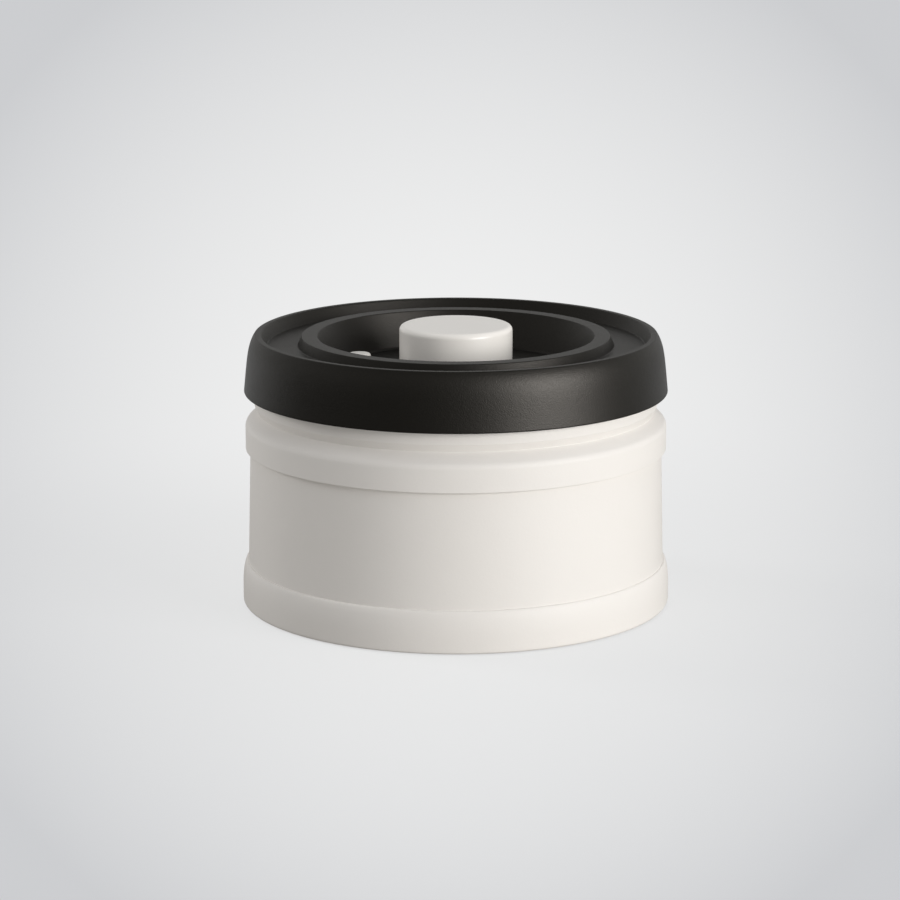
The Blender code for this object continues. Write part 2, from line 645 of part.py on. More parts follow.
def make_pump_button():
    """A white cup with a post in its middle, which the piston is screwed to."""
    top = well_floor + PUMP_PROUD
    foot = piston_top + SEAT_GAP
    inner = PUMP_RADIUS - PUMP_SIDE_WALL
    pilot = SCREW_SHANK_RADIUS + SEAT_GAP
    pilot_top = piston_ceiling + PISTON_SCREW_LENGTH
    profile = [(0, top)]
    profile += arc((PUMP_RADIUS - PUMP_EDGE, top - PUMP_EDGE), (PUMP_EDGE, PUMP_EDGE), 90, 0, 3)
    profile += [(PUMP_RADIUS, foot), (inner, foot), (inner, top - PUMP_TOP_WALL),
                (PUMP_POST_RADIUS, top - PUMP_TOP_WALL), (PUMP_POST_RADIUS, foot),
                (pilot, foot), (pilot, pilot_top), (0, pilot_top)]
    return turned("pump_button", profile, RING_SEGMENTS, white_plastic, pump_axis)


def make_piston():
    """A flat cup with a groove for its seal, a spigot for the button and a seat for the spring."""
    groove_top = piston_ceiling
    groove_bottom = groove_top - SEAL_GROOVE_HEIGHT
    groove_radius = piston_radius - SEAL_GROOVE_DEPTH
    inner = groove_radius - PISTON_WALL
    spigot = PUMP_RADIUS - PUMP_SIDE_WALL - SEAT_GAP
    hole = SCREW_SHANK_RADIUS + SEAT_GAP
    profile = [(spigot, piston_top + SPIGOT_HEIGHT), (spigot, piston_top), (piston_radius, piston_top),
               (piston_radius, groove_top), (groove_radius, groove_top), (groove_radius, groove_bottom),
               (piston_radius, groove_bottom), (piston_radius, piston_bottom), (inner, piston_bottom),
               (inner, piston_ceiling), (hole, piston_ceiling), (hole, piston_top),
               (spigot - SPIGOT_WALL, piston_top), (spigot - SPIGOT_WALL, piston_top + SPIGOT_HEIGHT)]
    return turned("piston", profile, PUMP_SEGMENTS, dark_plastic, pump_axis)


def make_piston_seal():
    """A lip seal that opens upwards: it holds on the return stroke and lets air out on the press."""
    top = piston_ceiling - SEAT_GAP
    bottom = piston_ceiling - SEAL_GROOVE_HEIGHT + SEAT_GAP
    inner = piston_radius - SEAL_GROOVE_DEPTH + SEAT_GAP
    tip = cylinder_radius - SEAT_GAP
    middle = (inner + piston_radius) / 2
    profile = [(tip, top), (middle + SEAL_LIP, bottom), (inner, bottom), (inner, top),
               (middle - SEAL_LIP, top), (middle, (top + bottom) / 2), (tip - SEAL_LIP, top)]
    return turned("piston_seal", profile, PUMP_SEGMENTS, dark_silicone, pump_axis)


def make_piston_screw():
    """The screw that holds the piston to the button, from below."""
    screw("piston_screw", axis_place, piston_ceiling - SEAT_GAP, PISTON_SCREW_LENGTH, bright_steel,
          pump_axis, head_up=False)


def make_return_spring():
    """A compression spring between the cylinder's floor and the piston."""
    coil("return_spring", SPRING_RADIUS, SPRING_WIRE_RADIUS, SPRING_TURNS, cylinder_floor + SEAT_GAP,
         piston_ceiling - SEAT_GAP, bright_steel, lid_axis)


# Release button and its valve

def make_release_button():
    """A small white button, kept in its hole by a flange, with a blind bore for the stem."""
    top = well_floor + RELEASE_PRESSED_PROUD + RELEASE_TRAVEL
    bore = RELEASE_STEM_RADIUS + SEAT_GAP
    bore_top = release_flange_bottom + RELEASE_STEM_GRIP + SEAT_GAP
    edge_centre = (RELEASE_RADIUS - RELEASE_EDGE, top - RELEASE_EDGE)
    profile = [(0, top)] + arc(edge_centre, (RELEASE_EDGE, RELEASE_EDGE), 90, 0, 2)
    profile += [(RELEASE_RADIUS, release_flange_top), (release_flange_radius, release_flange_top),
                (release_flange_radius, release_flange_bottom), (bore, release_flange_bottom),
                (bore, bore_top), (0, bore_top)]
    return turned("release_button", profile, SMALL_SEGMENTS, white_plastic, release_axis, release_place)


def make_release_stem():
    """A stem with a valve head below the lid base, pressed into the button."""
    top = release_flange_bottom + RELEASE_STEM_GRIP
    profile = [(0, top), (RELEASE_STEM_RADIUS, top), (RELEASE_STEM_RADIUS, release_head_top),
               (RELEASE_HEAD_RADIUS, release_head_top),
               (RELEASE_HEAD_RADIUS, release_head_top - RELEASE_HEAD_HEIGHT),
               (0, release_head_top - RELEASE_HEAD_HEIGHT)]
    return turned("release_stem", profile, SMALL_SEGMENTS, dark_plastic, release_axis, release_place)


def make_release_seal():
    """A silicone washer on the valve head, which closes the air hole in the lid base."""
    inner = RELEASE_STEM_RADIUS + SEAT_GAP
    bottom = release_seal_top - RELEASE_SEAL_HEIGHT
    profile = [(RELEASE_HEAD_RADIUS, release_seal_top), (RELEASE_HEAD_RADIUS, bottom),
               (inner, bottom), (inner, release_seal_top)]
    return turned("release_seal", profile, SMALL_SEGMENTS, dark_silicone, release_axis, release_place)


def make_release_spring():
    """A light spring between the lid base and the release button's flange."""
    radius = (RELEASE_STEM_RADIUS + RELEASE_AIR_GAP + release_flange_radius) / 2
    coil("release_spring", radius, RELEASE_WIRE_RADIUS, RELEASE_SPRING_TURNS, plate_top + SEAT_GAP,
         release_flange_bottom - SEAT_GAP, bright_steel, lid_axis, release_place)


clear_scene()
parts = new_collection("vacuum_coffee_canister")
tools = new_collection("cutters")

coated_steel = finish("coated_steel", (0.72, 0.68, 0.63), 0.45)
dark_plastic = finish("dark_plastic", (0.020, 0.018, 0.016), 0.50)
white_plastic = finish("white_plastic", (0.70, 0.66, 0.60), 0.35)
grey_plastic = finish("grey_plastic", (0.30, 0.30, 0.30), 0.40)
dark_silicone = finish("dark_silicone", (0.05, 0.05, 0.05), 0.70)
pale_silicone = finish("pale_silicone", (0.60, 0.60, 0.58), 0.65)
bright_steel = finish("bright_steel", (0.60, 0.60, 0.60), 0.30, metallic=1.0)

lid_axis = axis_empty("lid_axis", axis_place, lid_seat)
pump_axis = axis_empty("pump_axis", axis_place, piston_top, lid_axis)
release_axis = axis_empty("release_axis", release_place, release_flange_top, lid_axis)

make_shell()
make_foot_ring()
make_lid_cover()
make_lid_base()
make_lid_gasket()
make_pump_cylinder()
make_cylinder_gasket()
make_cylinder_screws()
make_inlet_valve()
make_filter()
make_pump_button()
make_piston()
make_piston_seal()
make_piston_screw()
make_return_spring()
make_release_button()
make_release_stem()
make_release_seal()
make_release_spring()
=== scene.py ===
# %% [markdown]
# A vacuum canister for coffee, dressed as it looks on a kitchen counter
#
# The real thing is a low steel can with a warm white coat. Its dark plastic lid holds a hand pump:
# a big white button, a well to reach it, and a small release button beside it.
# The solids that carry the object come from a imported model, which stays where it is. This script
# gives them their looks: finer surfaces over the coarse solids, materials made of nodes, a floor,
# soft light and a camera. Nearly every piece was made on a lathe or in a round mould, so nearly
# every shape here is one outline carried round an axis.

import math

import bmesh
import bpy
import numpy as np
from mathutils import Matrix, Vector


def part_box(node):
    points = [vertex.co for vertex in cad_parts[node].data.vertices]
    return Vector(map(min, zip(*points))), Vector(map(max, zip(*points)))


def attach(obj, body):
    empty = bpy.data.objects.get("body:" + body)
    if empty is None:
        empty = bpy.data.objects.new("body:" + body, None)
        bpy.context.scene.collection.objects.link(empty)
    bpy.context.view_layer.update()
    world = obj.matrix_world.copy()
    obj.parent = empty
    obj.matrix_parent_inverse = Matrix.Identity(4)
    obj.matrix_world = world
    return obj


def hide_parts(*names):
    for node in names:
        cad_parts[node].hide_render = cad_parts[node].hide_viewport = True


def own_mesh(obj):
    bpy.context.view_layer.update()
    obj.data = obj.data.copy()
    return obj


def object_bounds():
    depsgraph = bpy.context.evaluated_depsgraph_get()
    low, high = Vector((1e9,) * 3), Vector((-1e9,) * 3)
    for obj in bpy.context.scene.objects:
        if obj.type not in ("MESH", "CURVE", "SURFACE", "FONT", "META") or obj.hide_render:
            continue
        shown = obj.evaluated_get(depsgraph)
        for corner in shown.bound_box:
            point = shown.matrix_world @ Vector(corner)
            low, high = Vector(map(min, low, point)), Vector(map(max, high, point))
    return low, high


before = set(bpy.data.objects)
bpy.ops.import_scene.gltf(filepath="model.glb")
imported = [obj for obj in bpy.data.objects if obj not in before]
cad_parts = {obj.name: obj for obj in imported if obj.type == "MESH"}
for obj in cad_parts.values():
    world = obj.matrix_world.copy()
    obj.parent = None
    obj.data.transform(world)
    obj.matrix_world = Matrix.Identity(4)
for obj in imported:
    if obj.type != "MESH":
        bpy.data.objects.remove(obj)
cad_low, cad_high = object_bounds()

# %% [markdown]
# The camera comes first, because it decides how much detail each piece needs. The photograph looks
# down at the canister from a little under one metre away through a long lens, so the can barely
# tapers. The lens, the height and the tilt were worked out from the outlines of the lid and the can.

# %% Camera
CAMERA_DISTANCE = 0.87
CAMERA_HEIGHT = 0.24095
CAMERA_ASIDE = -0.00167
CAMERA_TILT = 12.81
CAMERA_LENS = 125.165
CAMERA_SENSOR = 36.0

camera_data = bpy.data.cameras.new("camera")
camera_data.lens = CAMERA_LENS
camera_data.sensor_width = CAMERA_SENSOR
camera = bpy.data.objects.new("camera", camera_data)
camera.location = (CAMERA_ASIDE, -CAMERA_DISTANCE, CAMERA_HEIGHT)
camera.rotation_euler = (math.radians(90 - CAMERA_TILT), 0, 0)
bpy.context.scene.collection.objects.link(camera)
bpy.context.scene.camera = camera
print("Camera:", CAMERA_LENS, "mm lens,", CAMERA_TILT, "degrees down")

# %% [markdown]
# An outline is a row of (radius, height) points. Two helpers draw its stretches: an arc, and a path
# whose corners are rounded, because no real edge is perfectly sharp and it is the rounding that
# catches the light. A corner is (radius, height, rounding), and one without a rounding gets a tiny
# one. A last helper adds points near the ends of long flats, which keeps their shading flat.

# %% Outline helpers
ARC_POINTS = 9
SUPPORT_REACH = 0.00025
SUPPORT_LEAST = 4
SUPPORT_MERGE = 1000
TINY = 0.0001
SMALL = 0.00035


def arc(centre, radii, start, end, count=ARC_POINTS):
    """Points of an ellipse: centre plus its half widths times the cosine and sine of an angle.

    A single number for radii gives a circle.
    """
    angles = np.radians(np.linspace(start, end, count))
    return np.array(centre) + np.array(radii) * np.stack([np.cos(angles), np.sin(angles)], axis=1)


def rounded(corners, count=ARC_POINTS):
    """Round the corners of an open path.

    Each corner is backed off along both its sides by rounding over the tangent of half its angle.
    The two ends are joined by an arc, the sum of the two end directions weighted by sines.
    The first and the last point stay as they are, so a rounding there has no effect.
    """
    corners = np.array([(*corner, TINY)[:3] for corner in corners])
    points, size = corners[1:-1, :2], corners[1:-1, 2]
    back = corners[:-2, :2] - points
    on = corners[2:, :2] - points
    back /= np.linalg.norm(back, axis=1, keepdims=True)
    on /= np.linalg.norm(on, axis=1, keepdims=True)
    half = np.arccos(np.clip((back * on).sum(1), -1, 1)) / 2
    reach = (size / np.tan(half))[:, None]
    middle = (back + on) / np.linalg.norm(back + on, axis=1, keepdims=True)
    centre = points + middle * (size / np.sin(half))[:, None]
    first, last = points + back * reach - centre, points + on * reach - centre
    share = np.linspace(0, 1, count)[None, :, None]
    sweep = (np.pi - 2 * half)[:, None, None]
    swept = np.sin((1 - share) * sweep) * first[:, None] + np.sin(share * sweep) * last[:, None]
    rows = (centre[:, None] + swept / np.sin(sweep)).reshape(-1, 2)
    return np.concatenate([corners[:1, :2], rows, corners[-1:, :2]])


def loop(corners, count=ARC_POINTS):
    """Round all the corners of a closed path: it starts and ends in the middle of its last side."""
    middle = (np.array(corners[0][:2]) + corners[-1][:2]) / 2
    return rounded([middle, *corners, middle], count)


def supported(path, reach=SUPPORT_REACH):
    """Add a point near both ends of each long straight stretch, so that its shading stays flat."""
    step = np.linalg.norm(np.diff(path, axis=0), axis=1)
    rows = [path[:1]]
    for start, end, length in zip(path[:-1], path[1:], step):
        if length > SUPPORT_LEAST * reach:
            inset = (end - start) * reach / length
            rows.append(np.array([start + inset, end - inset]))
        if length > reach / SUPPORT_MERGE:
            rows.append(end[None])
    return np.concatenate(rows)


# %% [markdown]
# A lathe turns the outline into a piece. The surface is a grid of two parameters, the place along
# the outline and the angle round the axis. Where an outline ends on the axis, the whole last row
# of the grid would fall on one spot, so that row becomes a single point with a fan of triangles.
# A ripple, added to the radius at each point of the grid, gives screws their thread.

# %% Lathe
SIDES = 192
SMALL_SIDES = 64
SHARP_ANGLE = 40
ON_AXIS = 1e-7


def new_piece(name, points, faces, material, face_materials=None):
    """Put points and faces into a mesh object, turn it right side out and shade it smooth."""
    mesh = bpy.data.meshes.new(name)
    mesh.from_pydata(points.tolist(), [], faces)
    for one in material if isinstance(material, list) else [material]:
        mesh.materials.append(one)
    if face_materials is not None:
        mesh.polygons.foreach_set("material_index", face_materials)
    work = bmesh.new()
    work.from_mesh(mesh)
    if work.calc_volume(signed=True) < 0:
        bmesh.ops.reverse_faces(work, faces=work.faces)
    work.to_mesh(mesh)
    work.free()
    mesh.shade_smooth()
    mesh.set_sharp_from_angle(angle=math.radians(SHARP_ANGLE))
    piece = bpy.data.objects.new(name, mesh)
    bpy.context.scene.collection.objects.link(piece)
    return piece


def turned(name, path, material, sides=SIDES, centre=(0, 0), row_materials=None, ripple=0.0):
    """Carry a path round the upright line through centre.

    A point (radius, height) at an angle goes to centre + (radius + ripple) * (cosine, sine), at its
    height. A path that starts and ends on the axis is closed by its two poles, and any other joins up.
    """
    path = np.asarray(path, float)
    poles = path[0, 0] < ON_AXIS and path[-1, 0] < ON_AXIS
    if not poles and np.linalg.norm(path[0] - path[-1]) < ON_AXIS:
        path = path[:-1]
    ring = path[1:-1] if poles else path
    rows = len(ring)
    angles = np.linspace(0, 2 * np.pi, sides, endpoint=False)
    radii = ring[:, :1] + ripple
    grid = np.empty((rows, sides, 3))
    grid[..., 0] = centre[0] + radii * np.cos(angles)
    grid[..., 1] = centre[1] + radii * np.sin(angles)
    grid[..., 2] = ring[:, 1:]
    here = np.arange(rows * sides).reshape(rows, sides)
    beside = np.roll(here, -1, axis=1)
    if poles:
        quads = np.stack([here[:-1], beside[:-1], beside[1:], here[1:]], axis=-1)
    else:
        quads = np.stack([here, beside, np.roll(beside, -1, axis=0), np.roll(here, -1, axis=0)], axis=-1)
    points, faces = grid.reshape(-1, 3), quads.reshape(-1, 4).tolist()
    if poles:
        first, last = len(points), len(points) + 1
        points = np.concatenate([points, [[*centre, path[0, 1]], [*centre, path[-1, 1]]]])
        faces += np.stack([np.full(sides, first), beside[0], here[0]], axis=-1).tolist()
        faces += np.stack([np.full(sides, last), here[-1], beside[-1]], axis=-1).tolist()
    chosen = None
    if row_materials is not None:
        inner_rows = np.asarray(row_materials)[1:-1]
        chosen = np.concatenate([np.repeat(inner_rows[:-1], sides),
                                 np.full(sides, row_materials[0]), np.full(sides, row_materials[-1])])
    return new_piece(name, points, faces, material, chosen)


def dress(piece, body, slot, *nodes):
    """Let a piece ride on a body and stand for its CAD nodes, which it hides. The slot is not used."""
    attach(piece, body)
    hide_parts(*nodes)
    print(f"{piece.name}: {len(piece.data.polygons)} faces")


def turn_and_dress(name, path, material, body, slot, node, sides=SIDES, centre=(0, 0)):
    """Turn a path into a piece that needs no more work, and dress it."""
    dress(turned(name, supported(path), material, sides, centre), body, slot, node)


# %% [markdown]
# Some shapes are not turned: holes beside the axis, screw bosses, sockets. They are cut or joined
# with the boolean tool, the way a drill or a mould core would, on the finished surface.

# %% Boolean helpers
CUT_OVERRUN = 0.0010
BAR_SIDES = 48
HOLE_SIDES = 24


def round_bars(name, radius, bottom, top, places, sides=BAR_SIDES):
    """Upright round bars at several places, as one tool."""
    work = bmesh.new()
    for x, y in places:
        bar = bmesh.ops.create_cone(work, cap_ends=True, segments=sides, radius1=radius, radius2=radius,
                                    depth=top - bottom)
        bmesh.ops.translate(work, verts=bar["verts"], vec=(x, y, (top + bottom) / 2))
    mesh = bpy.data.meshes.new(name)
    work.to_mesh(mesh)
    work.free()
    tool = bpy.data.objects.new(name, mesh)
    bpy.context.scene.collection.objects.link(tool)
    return tool


def combine(piece, tool, operation):
    """Cut a tool out of a piece, or join it on, and keep only the result."""
    step = piece.modifiers.new(tool.name, 'BOOLEAN')
    step.operation, step.object = operation, tool
    shaped = bpy.data.meshes.new_from_object(piece.evaluated_get(bpy.context.evaluated_depsgraph_get()))
    piece.modifiers.clear()
    old, piece.data = piece.data, shaped
    bpy.data.meshes.remove(old)
    bpy.data.objects.remove(tool, do_unlink=True)
    shaped.shade_smooth()
    shaped.set_sharp_from_angle(angle=math.radians(SHARP_ANGLE))


def drill(piece, name, radius, bottom, top, places, sides=BAR_SIDES):
    """Cut round holes that go right through the stretch from bottom to top."""
    bars = round_bars(name, radius, bottom - CUT_OVERRUN, top + CUT_OVERRUN, places, sides)
    combine(piece, bars, 'DIFFERENCE')


def ring_of(count, distance, first=0.0):
    """Places on a circle: distance times the cosine and sine of evenly spread angles."""
    angles = math.radians(first) + np.arange(count) * 2 * np.pi / count
    return np.stack([distance * np.cos(angles), distance * np.sin(angles)], axis=1).tolist()


# %% [markdown]
# Three effects are shared by many finishes, so each is a node group with its own dials.
# Moulded plastic and powder coat both have a fine grain: the mould is etched, and the powder melts
# into tiny hills. Two layers of noise of unlike size give the bumps, and the same noise shifts the
# gloss a little. Paint and plastic are never quite one colour either, so a slow, weak cloud of
# lighter and darker tone goes over them. Turned steel shows fine rings round its axis.

# %% Shared effects
NUMBER, COLOUR = 'NodeSocketFloat', 'NodeSocketColor'
COARSE_SCALE_SHARE = 0.22
CLOUD_DETAIL = 3.0
GRAIN_DETAIL = 2.0
PATCHES_PER_METRE = 90.0
MIDDLE = 0.5


def new_group(name, dials, results):
    """A shader node group. dials gives each input's first value, and results each output's kind.

    Returns the group, the sockets of its dials and its end node.
    """
    group = bpy.data.node_groups.new(name, 'ShaderNodeTree')
    for label, value in dials.items():
        kind = COLOUR if isinstance(value, tuple) else NUMBER
        group.interface.new_socket(label, in_out='INPUT', socket_type=kind).default_value = value
    for label, kind in results.items():
        group.interface.new_socket(label, in_out='OUTPUT', socket_type=kind)
    return group, group.nodes.new('NodeGroupInput').outputs, group.nodes.new('NodeGroupOutput')


def plug(tree, socket, value):
    """Link a socket to another, or set it to a plain value."""
    if isinstance(value, bpy.types.NodeSocket):
        tree.links.new(value, socket)
    else:
        socket.default_value = value


def fill(tree, node, **values):
    """Set or link a node's inputs by their labels, with _ for a space. Returns the node."""
    for label, value in values.items():
        plug(tree, node.inputs[label.replace('_', ' ')], value)
    return node


def math_node(tree, operation, first, second):
    """A Math node, whose two values are sockets or plain numbers. Returns its result."""
    node = tree.nodes.new('ShaderNodeMath')
    node.operation = operation
    plug(tree, node.inputs[0], first)
    plug(tree, node.inputs[1], second)
    return node.outputs[0]


def mix_colours(tree, factor, first, second):
    """A Mix node between two colours, each a socket or (red, green, blue). Returns its result."""
    node = tree.nodes.new('ShaderNodeMix')
    node.data_type = 'RGBA'
    plug(tree, node.inputs['Factor'], factor)
    for label, value in (('A', first), ('B', second)):
        plug(tree, node.inputs[label], value if isinstance(value, bpy.types.NodeSocket) else (*value, 1))
    return node.outputs['Result']


def ramp(tree, value, edges, kind='LINEAR'):
    """A Map Range node: 0 where value is at the first edge or before, 1 at the second or past it."""
    node = tree.nodes.new('ShaderNodeMapRange')
    node.interpolation_type = kind
    fill(tree, node, Value=value, From_Min=edges[0], From_Max=edges[1])
    return node.outputs['Result']


def soft_ramp(tree, value, edges):
    """The same with soft ends: share * share * (3 - 2 * share)."""
    return ramp(tree, value, edges, 'SMOOTHSTEP')


def noise(tree, vector, scale, detail=GRAIN_DETAIL):
    """A Noise node read at vector. Returns its value, from 0 to 1."""
    node = tree.nodes.new('ShaderNodeTexNoise')
    return fill(tree, node, Vector=vector, Scale=scale, Detail=detail).outputs['Fac']


def object_place(tree):
    """The place on the object."""
    return tree.nodes.new('ShaderNodeTexCoord').outputs['Object']


def parts_of(tree, vector):
    """The X, Y and Z of a vector."""
    return fill(tree, tree.nodes.new('ShaderNodeSeparateXYZ'), Vector=vector).outputs


def swung(group, value, dials):
    """The roughness dial, plus the swing dial times the value's distance from its middle."""
    swing = math_node(group, 'MULTIPLY', math_node(group, 'SUBTRACT', value, MIDDLE), dials['Swing'])
    return math_node(group, 'ADD', swing, dials['Roughness'])


def make_grain():
    """Height is fine noise plus coarse noise, and the fine noise swings the roughness."""
    group, dials, out = new_group(
        "surface_grain", {"Grains per metre": 4000.0, "Coarse share": 0.4, "Roughness": 0.5, "Swing": 0.1},
        {"Height": NUMBER, "Roughness": NUMBER})
    place = object_place(group)
    fine = noise(group, place, dials['Grains per metre'])
    wide = noise(group, place, math_node(group, 'MULTIPLY', dials['Grains per metre'], COARSE_SCALE_SHARE))
    coarse = math_node(group, 'MULTIPLY', wide, dials['Coarse share'])
    fill(group, out, Height=math_node(group, 'ADD', fine, coarse), Roughness=swung(group, fine, dials))
    return group


def make_cloud():
    """The colour is mixed towards a second tone by slow noise, times a strength."""
    group, dials, out = new_group(
        "tone_cloud", {"Colour": (0.5, 0.5, 0.5, 1), "Second tone": (0.45, 0.45, 0.45, 1),
                       "Clouds per metre": 60.0, "Strength": 0.5}, {"Colour": COLOUR})
    slow = noise(group, object_place(group), dials['Clouds per metre'], CLOUD_DETAIL)
    cloud = math_node(group, 'MULTIPLY', slow, dials['Strength'])
    fill(group, out, Colour=mix_colours(group, cloud, dials['Colour'], dials['Second tone']))
    return group


def make_turning():
    """Rings round the axis: noise read at (radius, height), so it is the same at every angle.

    A second noise that also changes slowly along the surface breaks the rings up.
    """
    group, dials, out = new_group(
        "turning_marks", {"Rings per metre": 3000.0, "Roughness": 0.3, "Swing": 0.15},
        {"Height": NUMBER, "Roughness": NUMBER})
    place = object_place(group)
    parts = parts_of(group, place)
    square_x, square_y = (math_node(group, 'MULTIPLY', parts[axis], parts[axis]) for axis in 'XY')
    radius = math_node(group, 'SQRT', math_node(group, 'ADD', square_x, square_y), 0.0)
    spot = fill(group, group.nodes.new('ShaderNodeCombineXYZ'), X=radius, Y=parts['Z']).outputs[0]
    patches = math_node(group, 'ADD', noise(group, place, PATCHES_PER_METRE), MIDDLE)
    marks = math_node(group, 'MULTIPLY', noise(group, spot, dials['Rings per metre']), patches)
    fill(group, out, Height=marks, Roughness=swung(group, marks, dials))
    return group


surface_grain = make_grain()
tone_cloud = make_cloud()
turning_marks = make_turning()
print("Shared effects:", [group.name for group in (surface_grain, tone_cloud, turning_marks)])

# %% [markdown]
# A finish sets its plain numbers on the shader and lets the groups vary colour, gloss and bumps.
# One function wires them, because all the finishes of this object differ only in their values.
# The lid's plastic has a strong, soft sheen: its highlight is many times as bright as its dark
# side, so it gets a nearly black colour and a high specular level, tinted a little warm.

# %% Finishes
def place_group(tree, group, **dials):
    """Place a shared effect in a material and set its dials."""
    node = tree.nodes.new('ShaderNodeGroup')
    node.node_tree = group
    return fill(tree, node, **dials).outputs


def finish(name, colour, second, surface, bump, metallic=0.0, specular=0.5, sheen=(1, 1, 1), clouds=60.0,
           cloud_strength=0.5):
    """A material: clouded colour, and a surface group's roughness and bumps."""
    material = bpy.data.materials.new(name)
    material.use_nodes = True
    material.diffuse_color = (*colour, 1)
    tree = material.node_tree
    tone = place_group(tree, tone_cloud, Colour=(*colour, 1), Second_tone=(*second, 1),
                       Clouds_per_metre=clouds, Strength=cloud_strength)
    group, dials = surface
    marks = place_group(tree, group, **dials)
    hills = fill(tree, tree.nodes.new('ShaderNodeBump'), Distance=bump, Height=marks['Height'])
    fill(tree, tree.nodes['Principled BSDF'], Metallic=metallic, Specular_IOR_Level=specular,
         Specular_Tint=(*sheen, 1), Base_Color=tone['Colour'], Roughness=marks['Roughness'],
         Normal=hills.outputs['Normal'])
    return material


def grain(per_metre, coarse, roughness, swing):
    return surface_grain, {"Grains_per_metre": per_metre, "Coarse_share": coarse, "Roughness": roughness,
                           "Swing": swing}


def turning(per_metre, roughness, swing):
    return turning_marks, {"Rings_per_metre": per_metre, "Roughness": roughness, "Swing": swing}


powder_coat = finish(
    "powder_coat", colour=(0.79, 0.757, 0.715), second=(0.765, 0.73, 0.685), bump=0.00002, specular=0.35,
    surface=grain(per_metre=1500.0, coarse=1.2, roughness=0.55, swing=0.10))
lid_plastic = finish(
    "lid_plastic", colour=(0.0052, 0.0047, 0.0034), second=(0.0040, 0.0036, 0.0026), bump=0.00005,
    specular=0.62, sheen=(1.0, 0.94, 0.87),
    surface=grain(per_metre=3200.0, coarse=0.5, roughness=0.46, swing=0.16))
inner_plastic = finish(
    "inner_plastic", colour=(0.016, 0.015, 0.014), second=(0.011, 0.011, 0.010), bump=0.00002,
    surface=grain(per_metre=5000.0, coarse=0.3, roughness=0.50, swing=0.10))
button_plastic = finish(
    "button_plastic", colour=(0.93, 0.89, 0.83), second=(0.90, 0.86, 0.80), bump=0.000006, specular=0.55,
    surface=grain(per_metre=5000.0, coarse=0.5, roughness=0.30, swing=0.06))
pump_plastic = finish(
    "pump_plastic", colour=(0.30, 0.30, 0.30), second=(0.26, 0.26, 0.27), bump=0.000010,
    surface=grain(per_metre=4000.0, coarse=0.3, roughness=0.38, swing=0.08))
dark_silicone = finish(
    "dark_silicone_rubber", colour=(0.045, 0.045, 0.046), second=(0.060, 0.060, 0.062), bump=0.000020,
    clouds=250.0, surface=grain(per_metre=6000.0, coarse=0.6, roughness=0.66, swing=0.10))
pale_silicone = finish(
    "pale_silicone_rubber", colour=(0.60, 0.60, 0.58), second=(0.54, 0.54, 0.53), bump=0.000012,
    clouds=250.0, surface=grain(per_metre=6000.0, coarse=0.6, roughness=0.58, swing=0.10))
turned_steel = finish(
    "turned_steel", colour=(0.70, 0.69, 0.67), second=(0.63, 0.62, 0.61), bump=0.000012, metallic=1.0,
    surface=turning(per_metre=2600.0, roughness=0.30, swing=0.20))
screw_steel = finish(
    "screw_steel", colour=(0.62, 0.61, 0.59), second=(0.55, 0.55, 0.54), bump=0.000008, metallic=1.0,
    surface=grain(per_metre=9000.0, coarse=0.8, roughness=0.26, swing=0.12))
print("Finishes:", [material.name for material in bpy.data.materials if material.use_nodes])

# %% [markdown]
# The canister is drawn from one steel sheet. From the ground up its outline has a recessed base with
# a tight corner, a lower band that bulges a little, a sharp ledge, a side that leans in by less than
# a millimetre, a second ledge under the upper band, a shoulder, and a groove below the straight
# neck, whose edge is rolled over. The outside carries the coat, and the inside is bare turned steel.

# %% Canister shell
STEEL_WALL = 0.0008
BASE_CORNER = 0.0007
INNER_CORNER = 0.0022
BASE_RECESS = 0.0013
FOOT_EDGE = 0.0037
LOWER_BAND_HEIGHT = 0.0118
BULGE_HEIGHT = 0.0070
CREASE_LEDGE = 0.00027
SIDE_INSET = 0.00167
SIDE_DRAFT = 0.00083
SIDE_HEIGHT = 0.0324
UPPER_STEP_HEIGHT = 0.0002
UPPER_BAND_INSET = 0.0012
UPPER_BAND_HEIGHT = 0.0062
SHOULDER_ROUND = 0.0025
SHOULDER_HEIGHT = 0.0043
GROOVE_HEIGHT = 0.0021
GROOVE_DEPTH = 0.0010
GROOVE_ROUND = 0.00015
NECK_INSET = 0.00385
RIM_BEAD = 0.0004
LEDGE_ROUND = 0.00012
CAN_SIDES = 256

shell_low, shell_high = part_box("canister_shell")
can_radius, shell_base, rim_top = shell_high.x, shell_low.z, shell_high.z
band_top = shell_base + LOWER_BAND_HEIGHT
side_top = band_top + SIDE_HEIGHT
upper_bottom = side_top + UPPER_STEP_HEIGHT
upper_top = upper_bottom + UPPER_BAND_HEIGHT
groove_bottom = upper_top + SHOULDER_HEIGHT
groove_middle = groove_bottom + GROOVE_HEIGHT / 2
side_radius = can_radius - SIDE_INSET
side_top_radius = side_radius - SIDE_DRAFT
crease_radius = side_radius + CREASE_LEDGE
upper_radius = can_radius - UPPER_BAND_INSET
neck_radius = can_radius - NECK_INSET
neck_inner = neck_radius - STEEL_WALL
bulge_width = can_radius - crease_radius
bulge_middle = band_top - BULGE_HEIGHT
recess_radius = can_radius - BASE_CORNER - FOOT_EDGE
recess_top = shell_base + BASE_RECESS
floor_top = recess_top + STEEL_WALL
rim_half = (RIM_BEAD + STEEL_WALL) / 2
shoulder_centre = (upper_radius - SHOULDER_ROUND, upper_top)
inner_shoulder = SHOULDER_ROUND - STEEL_WALL
shoulder = arc(shoulder_centre, SHOULDER_ROUND, 0, 45)

